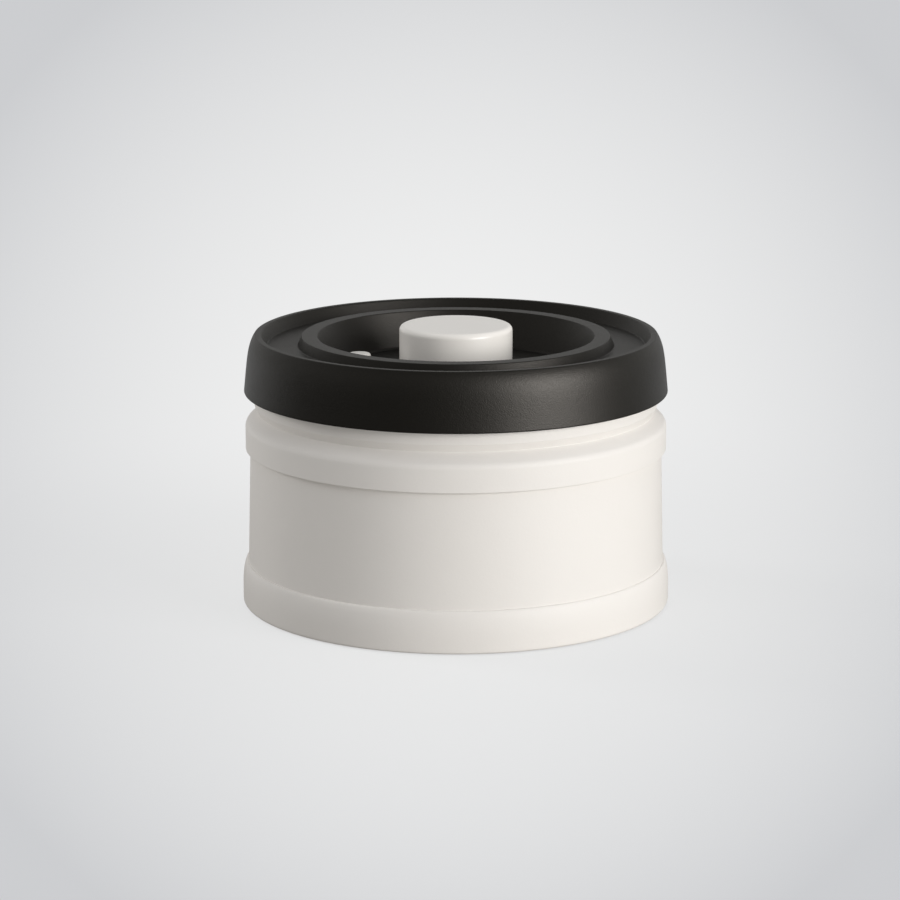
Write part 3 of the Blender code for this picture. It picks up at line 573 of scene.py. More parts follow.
outside = np.concatenate([
    rounded([(0, recess_top), (recess_radius, recess_top, SMALL), (recess_radius, shell_base, SMALL),
             (can_radius - BASE_CORNER, shell_base)]),
    arc((can_radius - BASE_CORNER, shell_base + BASE_CORNER), BASE_CORNER, -90, 0)[1:],
    arc((crease_radius, bulge_middle), (bulge_width, BULGE_HEIGHT), 0, 90, 3 * ARC_POINTS),
    rounded([(crease_radius, band_top), (side_radius, band_top, LEDGE_ROUND),
             (side_top_radius, side_top, LEDGE_ROUND), (upper_radius, upper_bottom, LEDGE_ROUND),
             (upper_radius, upper_top)])[1:],
    shoulder[1:],
    rounded([shoulder[-1], (neck_radius - GROOVE_DEPTH, groove_bottom, GROOVE_ROUND),
             (neck_radius, groove_bottom + GROOVE_HEIGHT, GROOVE_ROUND),
             (neck_radius, rim_top - 2 * rim_half)])[1:],
    arc((neck_radius + RIM_BEAD - rim_half, rim_top - rim_half), rim_half, -60, 180, 2 * ARC_POINTS)])
inside = np.concatenate([
    arc((neck_inner, groove_middle), (GROOVE_DEPTH, GROOVE_HEIGHT / 2 + STEEL_WALL), 90, 180),
    [(neck_inner - GROOVE_DEPTH, groove_bottom - STEEL_WALL / 2)],
    arc(shoulder_centre, inner_shoulder, 45, 0),
    [(upper_radius - STEEL_WALL, upper_bottom + STEEL_WALL),
     (side_top_radius - STEEL_WALL, side_top + STEEL_WALL), (side_radius - STEEL_WALL, band_top)],
    arc((crease_radius - STEEL_WALL, bulge_middle), (bulge_width, BULGE_HEIGHT - STEEL_WALL), 90, 0),
    arc((can_radius - STEEL_WALL - INNER_CORNER, floor_top + INNER_CORNER), INNER_CORNER, 0, -90),
    [(0, floor_top)]])
outside, inside = supported(outside), supported(inside)
shell_rows = [0] * (len(outside) - 1) + [1] * (len(inside) + 1)
shell = turned("coated_can", np.concatenate([outside, inside]), [powder_coat, turned_steel],
               sides=CAN_SIDES, row_materials=shell_rows)
dress(shell, "canister", "coated_steel", "canister_shell")

# %% [markdown]
# The foot ring is a strip of silicone, glued into the recess under the can. It stands a little
# proud, so it is all that touches the table. Its flat face has two soft edges.

# %% Foot ring
FOOT_TAPER = 0.0004
FOOT_WIDTH = 0.0040

foot_low, foot_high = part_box("foot_ring")
foot_outer, foot_top = foot_high.x, foot_high.z
foot_path = loop([
    (foot_outer, foot_top), (foot_outer - FOOT_TAPER, foot_low.z, SMALL),
    (foot_outer - FOOT_WIDTH + FOOT_TAPER, foot_low.z, SMALL), (foot_outer - FOOT_WIDTH, foot_top)])
turn_and_dress("silicone_foot", foot_path, dark_silicone, "canister", "dark_silicone", "foot_ring")

# %% [markdown]
# The lid's cover is one moulding. Its skirt leans in with a straight draft and then, near the top,
# a late rounding: radius = lid radius - draft * s - shoulder * s to the sixth, with s from 0 at
# the bottom to 1 at the crest. Inside the raised rim lie a flat channel, a collar and a bowl with
# the two buttons. The underside follows one wall below. A ring hangs from it whose bead snaps into
# the lid's base, and a short sleeve guides the release button's flange and spring.

# %% Lid cover
SKIRT_WALL = 0.0022
SKIRT_DRAFT = 0.0016
SKIRT_SHOULDER = 0.0016
SKIRT_DROP = 0.0095
SKIRT_SPAN = (0.03, 0.94)
SKIRT_ROWS = 48
RIM_WIDTH = 0.0017
RIM_SLOPE = 0.0017
RIM_ROUND = 0.00055
CHANNEL_WALL = 0.0033
CHANNEL_WIDTH = 0.0087
COLLAR_HEIGHT = 0.00285
COLLAR_SLOPE = 0.0012
COLLAR_WIDTH = 0.0043
COLLAR_ROUND = 0.0003
WELL_DEPTH = 0.01015
WELL_SLOPE = 0.0045
WELL_CORNER = 0.0020
WELL_FOOT = 0.0004
WELL_ROUND = 0.0010
COVER_WALL = 0.0020
GUIDE_WALL = 0.0020
GUIDE_DROP = 0.0080
SNAP_BEAD = 0.0004
SNAP_HEIGHT = 0.0010
SNAP_RISE = 0.0020
SNAP_ROUND = 0.0002
BASE_RIDGE = 0.0016
PLUG_WALL = 0.0022
SEAT_GAP = 0.0003
SLIDE_GAP = 0.0004
SLEEVE_WALL = 0.0008
RELEASE_RADIUS = 0.0033
CYLINDER_RADIUS = 0.0187
CYLINDER_WALL = 0.0016
FLANGE_TOP = 0.0027
PLATE_TOP = 0.0583
LID_SIDES = 256

cover_low, cover_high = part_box("lid_cover")
base_low, base_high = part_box("lid_base")
pump_low, pump_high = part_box("pump_button")
release_low, release_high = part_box("release_button")
cylinder_low, cylinder_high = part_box("pump_cylinder")
lid_radius, skirt_bottom, crest = cover_high.x, cover_low.z, cover_high.z
pump_radius = pump_high.x
release_place = ((release_low.x + release_high.x) / 2, 0)
release_flange = (release_high.x - release_low.x) / 2

lid_seat = skirt_bottom + SKIRT_DROP
channel_floor = lid_seat + CHANNEL_WALL
skirt_inner = lid_radius - SKIRT_WALL
crest_outer = lid_radius - SKIRT_DRAFT - SKIRT_SHOULDER
crest_inner = crest_outer - RIM_WIDTH
channel_outer = crest_inner - RIM_SLOPE
channel_inner = channel_outer - CHANNEL_WIDTH
collar_top = channel_floor + COLLAR_HEIGHT
collar_outer = channel_inner - COLLAR_SLOPE
well_mouth = collar_outer - COLLAR_WIDTH
well_floor = collar_top - WELL_DEPTH
well_radius = well_mouth - WELL_SLOPE
cavity_top = well_floor - COVER_WALL
plug_radius = base_high.x - BASE_RIDGE
plug_inner = plug_radius - PLUG_WALL
guide_radius = plug_inner - SEAT_GAP
snap_height = lid_seat - GUIDE_DROP + SNAP_RISE
hole_radius = pump_radius + SLIDE_GAP

share = np.linspace(*SKIRT_SPAN, SKIRT_ROWS)
skirt = np.stack([lid_radius - SKIRT_DRAFT * share - SKIRT_SHOULDER * share ** 6,
                  skirt_bottom + (crest - skirt_bottom) * share], axis=1)
top_path = rounded([
    skirt[-1], (crest_outer, crest, RIM_ROUND), (crest_inner, crest, RIM_ROUND),
    (channel_outer, channel_floor, SMALL), (channel_inner, channel_floor, SMALL),
    (collar_outer, collar_top, COLLAR_ROUND), (well_mouth, collar_top, COLLAR_ROUND),
    (well_radius + WELL_FOOT, well_floor, WELL_ROUND), (hole_radius, well_floor, SMALL),
    (hole_radius, cavity_top)])
under_path = rounded([
    (hole_radius, cavity_top), (well_radius + COVER_WALL - WELL_CORNER, cavity_top, SMALL),
    (well_radius + COVER_WALL, well_floor + WELL_CORNER, SMALL),
    (well_mouth + COVER_WALL, collar_top - COVER_WALL),
    (collar_outer - COVER_WALL, collar_top - COVER_WALL),
    (channel_inner - COVER_WALL, channel_floor - COVER_WALL, SMALL),
    (guide_radius - GUIDE_WALL, channel_floor - COVER_WALL, SMALL),
    (guide_radius - GUIDE_WALL, lid_seat - GUIDE_DROP, SMALL), (guide_radius, lid_seat - GUIDE_DROP, SMALL),
    (guide_radius, snap_height - SNAP_HEIGHT, SNAP_ROUND),
    (guide_radius + SNAP_BEAD, snap_height, SNAP_ROUND),
    (guide_radius, snap_height + SNAP_HEIGHT, SNAP_ROUND), (guide_radius, lid_seat, SMALL),
    (skirt_inner, lid_seat, SMALL), (skirt_inner, skirt_bottom, SMALL), (lid_radius, skirt_bottom, SMALL),
    skirt[0]])
cover_path = supported(np.concatenate([skirt[:-1], top_path[:-1], under_path]))
cover = turned("lid_top", cover_path, lid_plastic, sides=LID_SIDES)
sleeve_bottom = PLATE_TOP + SEAT_GAP + FLANGE_TOP + 2 * SEAT_GAP
sleeve_bore = release_flange + SLIDE_GAP
sleeve = round_bars("release_sleeve", sleeve_bore + SLEEVE_WALL, sleeve_bottom,
                    (cavity_top + well_floor) / 2, [release_place])
drill(sleeve, "release_sleeve_bore", sleeve_bore, sleeve_bottom, well_floor, [release_place])
combine(cover, sleeve, 'UNION')
drill(cover, "release_hole", RELEASE_RADIUS + SLIDE_GAP, cavity_top, collar_top, [release_place])
dress(cover, "lid", "dark_plastic", "lid_cover")

# %% [markdown]
# The lid base closes the lid from below: a plate, a wall that plugs the neck, and two ridges that
# hold the gasket between them. Four blind bosses take the cylinder's screws, and the release
# valve breathes through a hole beside the cylinder. The gasket's two lips reach for the neck.

# %% Lid base and gasket
GASKET_DROP = 0.0052
GASKET_HEIGHT = 0.0046
GASKET_BODY = 0.0012
GASKET_LIP = 0.0008
LIP_SHARES = (0.75, 0.25)
RIDGE_HEIGHT = 0.0016
PLATE_THICKNESS = 0.0020
EAR_COUNT = 4
EAR_RADIUS = 0.0034
FLANGE_WIDTH = 0.0022
BOSS_RADIUS = 0.0030
SCREW_LENGTH = 0.0075
SCREW_RADIUS = 0.00115
STEM_RADIUS = 0.0013
AIR_GAP = 0.0008

cylinder_outer = CYLINDER_RADIUS + CYLINDER_WALL
flange_radius = cylinder_outer + FLANGE_WIDTH
ear_places = ring_of(EAR_COUNT, flange_radius + EAR_RADIUS, 180 / EAR_COUNT)
plate_bottom = PLATE_TOP - PLATE_THICKNESS
flange_bottom = PLATE_TOP + SEAT_GAP
flange_top = flange_bottom + FLANGE_TOP
screw_seat = flange_top + SEAT_GAP
gasket_top = rim_top - GASKET_DROP
gasket_bottom = gasket_top - GASKET_HEIGHT
upper_ridge = gasket_top + SEAT_GAP
ridge_radius = base_high.x

base_path = loop([
    (plug_inner, base_high.z, SMALL), (plug_radius, base_high.z, SMALL),
    (plug_radius, upper_ridge + RIDGE_HEIGHT), (ridge_radius, upper_ridge + RIDGE_HEIGHT, SMALL),
    (ridge_radius, upper_ridge), (plug_radius, upper_ridge), (plug_radius, gasket_bottom - SEAT_GAP),
    (ridge_radius, gasket_bottom - SEAT_GAP),
    (ridge_radius, gasket_bottom - SEAT_GAP - RIDGE_HEIGHT, SMALL), (plug_radius, plate_bottom, SMALL),
    (cylinder_outer + SEAT_GAP, plate_bottom, SMALL), (cylinder_outer + SEAT_GAP, PLATE_TOP, SMALL),
    (plug_inner, PLATE_TOP, SMALL), (plug_inner, snap_height - SNAP_HEIGHT),
    (plug_inner + SNAP_BEAD, snap_height, SNAP_ROUND), (plug_inner, snap_height + SNAP_HEIGHT)])
base = turned("lid_underside", supported(base_path), inner_plastic)
bosses = round_bars("bosses", BOSS_RADIUS, base_low.z, PLATE_TOP - PLATE_THICKNESS / 2, ear_places)
combine(base, bosses, 'UNION')
boss_holes = round_bars("boss_holes", SCREW_RADIUS + SEAT_GAP, screw_seat - SCREW_LENGTH - SEAT_GAP,
                        PLATE_TOP + CUT_OVERRUN, ear_places, HOLE_SIDES)
combine(base, boss_holes, 'DIFFERENCE')
drill(base, "air_hole", STEM_RADIUS + AIR_GAP, plate_bottom, PLATE_TOP, [release_place])
dress(base, "lid", "dark_plastic", "lid_base")

gasket_inner = plug_radius + SEAT_GAP
gasket_body = gasket_inner + GASKET_BODY
lip_tip = neck_inner - SEAT_GAP
gasket_corners = [(gasket_inner, gasket_bottom, TINY), (gasket_inner, gasket_top, TINY),
                  (gasket_body, gasket_top, SMALL)]
for lip_share in LIP_SHARES:
    lip_middle = gasket_bottom + GASKET_HEIGHT * lip_share
    gasket_corners += [(gasket_body, lip_middle + GASKET_LIP, TINY),
                       (lip_tip, lip_middle + GASKET_LIP / 2, TINY),
                       (gasket_body, lip_middle - GASKET_LIP / 2, TINY)]
gasket_corners.append((gasket_body, gasket_bottom, SMALL))
gasket = turned("neck_gasket", supported(loop(gasket_corners)), pale_silicone)
dress(gasket, "lid", "pale_silicone", "lid_gasket")

# %% [markdown]
# The pump cylinder is a cup with a flange. Four ears grow out of the flange for the screws, an
# O-ring sits in a rebate under it, and six small holes in the floor let the air in under the
# valve. A thin wall below the floor carries the filter.

# %% Pump cylinder and its O-ring
CYLINDER_FLOOR = 0.0015
FLOOR_RISE = 0.0036
RING_WIRE = 0.0005
RING_POINTS = 17
RIB_OUTER = 0.00896
RIB_WALL = 0.0009
RIB_HEIGHT = 0.0012
VALVE_STEM = 0.0010
INLET_RADIUS = 0.0008
INLET_DISTANCE = 0.0030
INLET_COUNT = 6
FILTER_RADIUS = 0.0123
FILTER_WALL = 0.0014
PUMP_SIDES = 128

filter_wall_bottom = cylinder_low.z
cylinder_floor = filter_wall_bottom + FLOOR_RISE
cylinder_bottom = cylinder_floor - CYLINDER_FLOOR
ring_radius = cylinder_outer + SEAT_GAP + RING_WIRE
rebate_radius = ring_radius + RING_WIRE + SEAT_GAP
rebate_top = flange_bottom + 2 * RING_WIRE + SEAT_GAP
stem_hole = VALVE_STEM + SEAT_GAP

cylinder_path = loop([
    (CYLINDER_RADIUS, cylinder_high.z, SMALL), (cylinder_outer, cylinder_high.z, SMALL),
    (cylinder_outer, flange_top, SMALL), (flange_radius, flange_top, SMALL), (flange_radius, flange_bottom),
    (rebate_radius, flange_bottom), (rebate_radius, rebate_top), (cylinder_outer, rebate_top),
    (cylinder_outer, cylinder_bottom, SMALL), (FILTER_RADIUS, cylinder_bottom, SMALL),
    (FILTER_RADIUS, filter_wall_bottom), (FILTER_RADIUS - FILTER_WALL, filter_wall_bottom),
    (FILTER_RADIUS - FILTER_WALL, cylinder_bottom, SMALL), (stem_hole, cylinder_bottom),
    (stem_hole, cylinder_floor), (RIB_OUTER - RIB_WALL, cylinder_floor),
    (RIB_OUTER - RIB_WALL, cylinder_floor + RIB_HEIGHT), (RIB_OUTER, cylinder_floor + RIB_HEIGHT),
    (RIB_OUTER, cylinder_floor), (CYLINDER_RADIUS, cylinder_floor, SMALL)])
cylinder = turned("pump_cup", supported(cylinder_path), pump_plastic, sides=PUMP_SIDES)
flange_inside = (rebate_radius + flange_radius) / 2
for distance in (flange_radius + EAR_RADIUS, flange_radius):
    spots = ring_of(EAR_COUNT, distance, 180 / EAR_COUNT)
    ears = round_bars("ears", EAR_RADIUS, flange_bottom, flange_top, spots)
    drill(ears, "ear_bore", flange_inside, flange_bottom, flange_top, [(0, 0)], PUMP_SIDES)
    combine(cylinder, ears, 'UNION')
drill(cylinder, "ear_holes", SCREW_RADIUS + SEAT_GAP, flange_bottom, flange_top, ear_places, HOLE_SIDES)
drill(cylinder, "inlets", INLET_RADIUS, cylinder_bottom, cylinder_floor,
      ring_of(INLET_COUNT, INLET_DISTANCE), HOLE_SIDES)
dress(cylinder, "lid", "grey_plastic", "pump_cylinder")

ring_path = arc((ring_radius, flange_bottom + RING_WIRE), RING_WIRE, 0, 360, RING_POINTS)
o_ring = turned("flange_ring", ring_path, dark_silicone, sides=PUMP_SIDES)
dress(o_ring, "lid", "dark_silicone", "cylinder_gasket")

# %% [markdown]
# Real screws have a thread, and on a lathe grid it is a ripple of the radius. With p the pitch, the
# wave at height h and angle a is the distance of h / p - a / turn from its nearest whole number,
# doubled. The ripple is minus the depth times that wave, and it fades out at both ends of the
# shank. A six-sided bar cuts the driver's socket.

# %% Screws
HEAD_RADIUS = 0.0022
HEAD_HEIGHT = 0.0014
HEAD_CORNER = 0.0007
SOCKET_RADIUS = 0.0011
SOCKET_DEPTH = 0.0007
THREAD_PITCH = 0.0008
THREAD_DEPTH = 0.00014
ROWS_A_PITCH = 6
SCREW_SIDES = 32
PISTON_SCREW_LENGTH = 0.0090
HEX = 6


def thread(path, along, length, sides):
    """Minus the depth times |2 * (h / p - a / turn mod 1) - 1|, faded over one pitch at both ends."""
    angles = np.linspace(0, 1, sides, endpoint=False)
    wave = np.abs(2 * ((along[:, None] / THREAD_PITCH - angles) % 1) - 1)
    start = np.clip(along / THREAD_PITCH, 0, 1)
    end = np.clip((length - SCREW_RADIUS - along) / THREAD_PITCH, 0, 1)
    return -THREAD_DEPTH * wave * (start * end)[:, None]


def screw(name, place, seat, length, node, body, way=1):
    """A round-headed screw whose head rests at seat. With way 1 its head is up, with -1 it is down."""
    head = np.concatenate([[(0, HEAD_HEIGHT)], arc((HEAD_RADIUS - HEAD_CORNER, HEAD_HEIGHT - HEAD_CORNER),
                                                   HEAD_CORNER, 90, 0), [(HEAD_RADIUS, 0)]])
    rows = round((length - SCREW_RADIUS) / THREAD_PITCH * ROWS_A_PITCH)
    down = np.linspace(0, length - SCREW_RADIUS, rows)
    shank = np.stack([np.full(rows, SCREW_RADIUS), -down], axis=1)
    path = np.concatenate([head, shank, [(0, -length)]])
    ripple = np.zeros((len(path) - 2, SCREW_SIDES))
    ripple[len(head) - 1:] = thread(path, down, length, SCREW_SIDES)
    path = path * (1, way) + (0, seat)
    piece = turned(name, path, screw_steel, sides=SCREW_SIDES, centre=place, ripple=ripple)
    socket = sorted([seat + way * (HEAD_HEIGHT - SOCKET_DEPTH), seat + way * (HEAD_HEIGHT + CUT_OVERRUN)])
    combine(piece, round_bars("socket", SOCKET_RADIUS, *socket, [place], sides=HEX), 'DIFFERENCE')
    dress(piece, body, "bright_steel", node)


for number, ear in enumerate(ear_places, start=1):
    screw(f"flange_screw_{number}", ear, screw_seat, SCREW_LENGTH, f"cylinder_screw_{number}", "lid")
piston_screw_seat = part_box("piston_screw")[1].z - PISTON_SCREW_LENGTH
screw("post_screw", (0, 0), piston_screw_seat, PISTON_SCREW_LENGTH, "piston_screw", "pump", way=-1)

# %% [markdown]
# Under the cylinder come the mushroom valve, the screen and its cap. The screen is thin steel with
# a close pattern of round holes: hole (i, j) stands at pitch * (i + j / 2, j * root 3 / 2).

# %% Inlet valve, screen and filter cap
VALVE_CROWN = 0.0010
VALVE_EDGE = 0.0004
BULB_RADIUS = 0.0017
BULB_HEIGHT = 0.0011
SCREEN_HOLE = 0.00042
SCREEN_PITCH = 0.00125
SCREEN_REACH = 9
SCREEN_HOLE_SIDES = 8
SCREEN_ARC = 3
CAP_WALL = 0.0012
CAP_FLOOR = 0.0010
CAP_HOLE = 0.0021
CAP_HOLE_COUNT = 6

valve_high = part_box("inlet_valve")[1]
flap_bottom, flap_radius = cylinder_floor + SEAT_GAP, valve_high.x
bulb_top = cylinder_bottom - SEAT_GAP
valve_path = rounded([
    (0, flap_bottom + VALVE_CROWN), (flap_radius / 2, flap_bottom + VALVE_CROWN, VALVE_CROWN),
    (flap_radius, flap_bottom + VALVE_EDGE), (flap_radius, flap_bottom), (VALVE_STEM, flap_bottom),
    (VALVE_STEM, bulb_top), (BULB_RADIUS, bulb_top), (VALVE_STEM, bulb_top - BULB_HEIGHT),
    (0, bulb_top - BULB_HEIGHT)])
turn_and_dress("mushroom_valve", valve_path, pale_silicone, "lid", "pale_silicone",
               "inlet_valve", sides=SMALL_SIDES)

screen_low, screen_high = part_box("filter_screen")
screen_corners = [(0, screen_high.z), (FILTER_RADIUS, screen_high.z), (FILTER_RADIUS, screen_low.z),
                  (0, screen_low.z)]
screen_path = rounded(screen_corners, SCREEN_ARC)
screen = turned("screen_disc", screen_path, turned_steel, sides=PUMP_SIDES)
steps = np.arange(-SCREEN_REACH, SCREEN_REACH + 1)
across, along = np.meshgrid(steps, steps)
pattern = SCREEN_PITCH * np.stack([across + along / 2, along * math.sqrt(3) / 2], axis=-1).reshape(-1, 2)
pattern = pattern[np.linalg.norm(pattern, axis=1) < FILTER_RADIUS - FILTER_WALL - SCREEN_HOLE]
drill(screen, "screen_holes", SCREEN_HOLE, screen_low.z, screen_high.z, pattern.tolist(), SCREEN_HOLE_SIDES)
dress(screen, "lid", "bright_steel", "filter_screen")

cap_low, cap_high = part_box("filter_cap")
cap_outer, cap_inner = cap_high.x, cap_high.x - CAP_WALL
cap_path = rounded([
    (0, cap_low.z + CAP_FLOOR), (cap_inner, cap_low.z + CAP_FLOOR, SMALL), (cap_inner, cap_high.z, SMALL),
    (cap_outer, cap_high.z, SMALL), (cap_outer, cap_low.z, CAP_FLOOR / 2), (0, cap_low.z)])
cap = turned("filter_holder", supported(cap_path), inner_plastic, sides=PUMP_SIDES)
cap_places = [(0, 0)] + ring_of(CAP_HOLE_COUNT, (FILTER_RADIUS - FILTER_WALL + CAP_HOLE) / 2)
drill(cap, "cap_holes", CAP_HOLE, cap_low.z, cap_low.z + CAP_FLOOR, cap_places)
dress(cap, "lid", "dark_plastic", "filter_cap")

# %% [markdown]
# The pump button is a moulded cup: a flat top with a rounded edge that a thumb finds easily, and a
# post inside that the piston is screwed to. The piston below it is a flat cup too, with a groove
# for its seal. The seal's lip opens upwards, so air can leave past it but not come back.

# %% Pump button, piston and seal
BUTTON_ROUND = 0.0015
BUTTON_WALL = 0.0017
BUTTON_TOP_WALL = 0.0020
POST_RADIUS = 0.0034
PILOT_RADIUS = 0.00145
PISTON_RADIUS = 0.0180
PISTON_PLATE = 0.0016
PISTON_WALL = 0.0017
SEAL_DEPTH = 0.0020
SEAL_HEIGHT = 0.0018
SEAL_LIP = 0.0005
SPIGOT_WALL = 0.0012

button_top, button_foot = pump_high.z, pump_low.z
button_inner = pump_radius - BUTTON_WALL
piston_top = button_foot - SEAT_GAP
piston_ceiling = piston_top - PISTON_PLATE
pilot_top = piston_ceiling + PISTON_SCREW_LENGTH
button_path = rounded([
    (0, button_top), (pump_radius, button_top, BUTTON_ROUND), (pump_radius, button_foot),
    (button_inner, button_foot), (button_inner, button_top - BUTTON_TOP_WALL, SMALL),
    (POST_RADIUS, button_top - BUTTON_TOP_WALL, SMALL), (POST_RADIUS, button_foot),
    (PILOT_RADIUS, button_foot), (PILOT_RADIUS, pilot_top, SMALL), (0, pilot_top)])
turn_and_dress("pump_push_button", button_path, button_plastic, "pump", "white_plastic", "pump_button")

piston_low, piston_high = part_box("piston")
seal_radius = PISTON_RADIUS - SEAL_DEPTH
groove_floor = piston_ceiling - SEAL_HEIGHT
spigot = button_inner - SEAT_GAP
piston_path = loop([
    (spigot, piston_high.z), (spigot, piston_top), (PISTON_RADIUS, piston_top, SMALL),
    (PISTON_RADIUS, piston_ceiling), (seal_radius, piston_ceiling), (seal_radius, groove_floor),
    (PISTON_RADIUS, groove_floor), (PISTON_RADIUS, piston_low.z, SMALL),
    (seal_radius - PISTON_WALL, piston_low.z), (seal_radius - PISTON_WALL, piston_ceiling, SMALL),
    (PILOT_RADIUS, piston_ceiling), (PILOT_RADIUS, piston_top), (spigot - SPIGOT_WALL, piston_top),
    (spigot - SPIGOT_WALL, piston_high.z)])
turn_and_dress("pump_piston", piston_path, inner_plastic, "pump", "dark_plastic",
               "piston", sides=PUMP_SIDES)

seal_low, seal_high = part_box("piston_seal")
seal_inner, seal_tip = seal_radius + SEAT_GAP, CYLINDER_RADIUS - SEAT_GAP
seal_middle = (seal_inner + PISTON_RADIUS) / 2
seal_path = loop([
    (seal_inner, seal_high.z, TINY / 2), (seal_middle - SEAL_LIP, seal_high.z, TINY / 2),
    (seal_middle, (seal_high.z + seal_low.z) / 2), (seal_tip - SEAL_LIP, seal_high.z, TINY / 2),
    (seal_tip, seal_high.z, TINY / 2), (seal_middle + SEAL_LIP, seal_low.z), (seal_inner, seal_low.z)])
turn_and_dress("lip_seal", seal_path, dark_silicone, "pump", "dark_silicone",
               "piston_seal", sides=PUMP_SIDES)

# %% [markdown]
# The release button is a small pin beside the big one, held in its hole by a flange under the
# cover. Its stem goes down through the air hole and carries the valve head with its washer.

# %% Release button, stem and washer
RELEASE_ROUND = 0.0007
RELEASE_FLANGE = 0.0012
STEM_BORE = 0.0016
STEM_GRIP = 0.0043
STEM_HEAD = 0.0036
STEM_HEAD_HEIGHT = 0.0012
WASHER_BORE = 0.0016

release_top, release_foot = release_high.z, release_low.z
release_path = rounded([
    (0, release_top), (RELEASE_RADIUS, release_top, RELEASE_ROUND),
    (RELEASE_RADIUS, release_foot + RELEASE_FLANGE), (release_flange, release_foot + RELEASE_FLANGE),
    (release_flange, release_foot), (STEM_BORE, release_foot), (STEM_BORE, release_foot + STEM_GRIP),
    (0, release_foot + STEM_GRIP)])
turn_and_dress("release_push_button", release_path, button_plastic, "release", "white_plastic",
               "release_button", sides=SMALL_SIDES, centre=release_place)

stem_low, stem_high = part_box("release_stem")
head_top = stem_low.z + STEM_HEAD_HEIGHT
stem_path = rounded([
    (0, stem_high.z), (STEM_RADIUS, stem_high.z, SMALL), (STEM_RADIUS, head_top), (STEM_HEAD, head_top),
    (STEM_HEAD, stem_low.z, SMALL), (0, stem_low.z)])
turn_and_dress("valve_stem", stem_path, inner_plastic, "release", "dark_plastic",
               "release_stem", sides=SMALL_SIDES, centre=release_place)

washer_low, washer_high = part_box("release_seal")
washer_path = loop([
    (WASHER_BORE, washer_high.z), (STEM_HEAD, washer_high.z, TINY * 2), (STEM_HEAD, washer_low.z, TINY * 2),
    (WASHER_BORE, washer_low.z)])
turn_and_dress("valve_washer", washer_path, dark_silicone, "release", "dark_silicone",
               "release_seal", sides=SMALL_SIDES, centre=release_place)

# %% [markdown]
# A spring is a round wire along a helix: centre + (R cos t, R sin t, h(t)). The height h is a
# broken line over the turns. It climbs by one wire per turn in the closed turns at both ends, and
# steeply between them.

# %% Springs
STEPS_A_TURN = 48
WIRE_POINTS = 12


def coil(name, radius, wire, turns, closed, low, high, centre=(0, 0)):
    """Sweep a wire circle along the helix: the circle lies in the plane of the radius and the axis."""
    turn = np.linspace(0, turns, round(turns * STEPS_A_TURN) + 1)
    rise, climb = high - low - 2 * wire, 2 * wire * closed
    climbs = np.interp(turn, [0, closed, turns - closed, turns], [0, climb, rise - climb, rise])
    height = low + wire + climbs
    angle = 2 * np.pi * turn
    round_wire = np.linspace(0, 2 * np.pi, WIRE_POINTS, endpoint=False)
    reach = radius + wire * np.cos(round_wire)
    grid = np.empty((len(turn), WIRE_POINTS, 3))
    grid[..., 0] = centre[0] + reach * np.cos(angle)[:, None]
    grid[..., 1] = centre[1] + reach * np.sin(angle)[:, None]
    grid[..., 2] = height[:, None] + wire * np.sin(round_wire)
    here = np.arange(grid.shape[0] * WIRE_POINTS).reshape(-1, WIRE_POINTS)
    beside = np.roll(here, -1, axis=1)
    quads = np.stack([here[:-1], beside[:-1], beside[1:], here[1:]], axis=-1).reshape(-1, 4)
    faces = quads.tolist() + [here[0, ::-1].tolist(), here[-1].tolist()]
    return new_piece(name, grid.reshape(-1, 3), faces, screw_steel)


spring_low, spring_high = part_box("return_spring")
return_spring = coil("piston_spring", radius=0.0100, wire=0.0004, turns=4.0, closed=0.75,
                     low=spring_low.z, high=spring_high.z)
dress(return_spring, "lid", "bright_steel", "return_spring")
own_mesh(return_spring)

small_low, small_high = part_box("release_spring")
small_spring = coil("button_spring", radius=0.0032, wire=0.0002, turns=4.5, closed=1.0,
                    low=small_low.z, high=small_high.z, centre=release_place)
dress(small_spring, "lid", "bright_steel", "release_spring")
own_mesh(small_spring)

# %% [markdown]
# The set is a pale table in a pale room. The photograph has no visible edge between table and
# wall, so the table fades out into the room a little way from the canister, and even close by the
# camera sees only a thin layer of it, which keeps the shadow faint. For the light the table is
# whole, and it throws a soft glow up at the can. The room is brightest behind the canister, and it
# gives plain surfaces an even fill that grows overhead. A mirror-like surface sees another room: pale
# behind, weaker on the left, dim on the photographer's side. A belt of glow half way up reaches
# into the open can, so that its bare steel shines.

# %% Floor and room
FLOOR_RADIUS = 3.0
FLOOR_SIDES = 96
FLOOR_FADE_EDGES = (0.27, 0.06)
FLOOR_SHOWN = 0.22
FLOOR_SEEN = (0.90, 0.90, 0.89)
FLOOR_BOUNCE = (0.56, 0.55, 0.53)
# Painted shade for mirror rays only: the table's front is coloured dark and its back pale, standing in for
# a dim room on the camera's side.
MIRRORED_FLOOR_PAINTED_SHADE = (0.05, 0.05, 0.045)
MIRRORED_FLOOR_BEHIND = (0.75, 0.75, 0.74)
MIRRORED_FLOOR_EDGES = (0.05, 0.20)
FLOOR_ROUGHNESS = 0.9
FLOOR_SPECULAR = 0.1
ROOM_BRIGHT = (0.875, 0.877, 0.875)
ROOM_EDGE = (0.607, 0.615, 0.632)
ROOM_EDGES = (1.0, 0.984)
MIRROR_BEHIND = (0.56, 0.56, 0.55)
MIRROR_FRONT = (0.05, 0.05, 0.045)
MIRROR_EDGES = (0.1, 0.7)
MIRROR_LEFT_EDGES = (-0.5, -0.9)
MIRROR_LEFT_SHARE = 0.5
MIRROR_ABOVE = (0.24, 0.24, 0.235)
MIRROR_ABOVE_START = (0.30, 0.60)
MIRROR_ABOVE_END = (0.80, 0.60)
FILL_LOW = (0.315, 0.315, 0.315)
FILL_HIGH = (0.75, 0.77, 0.81)
FILL_EDGES = (0.55, 1.0)

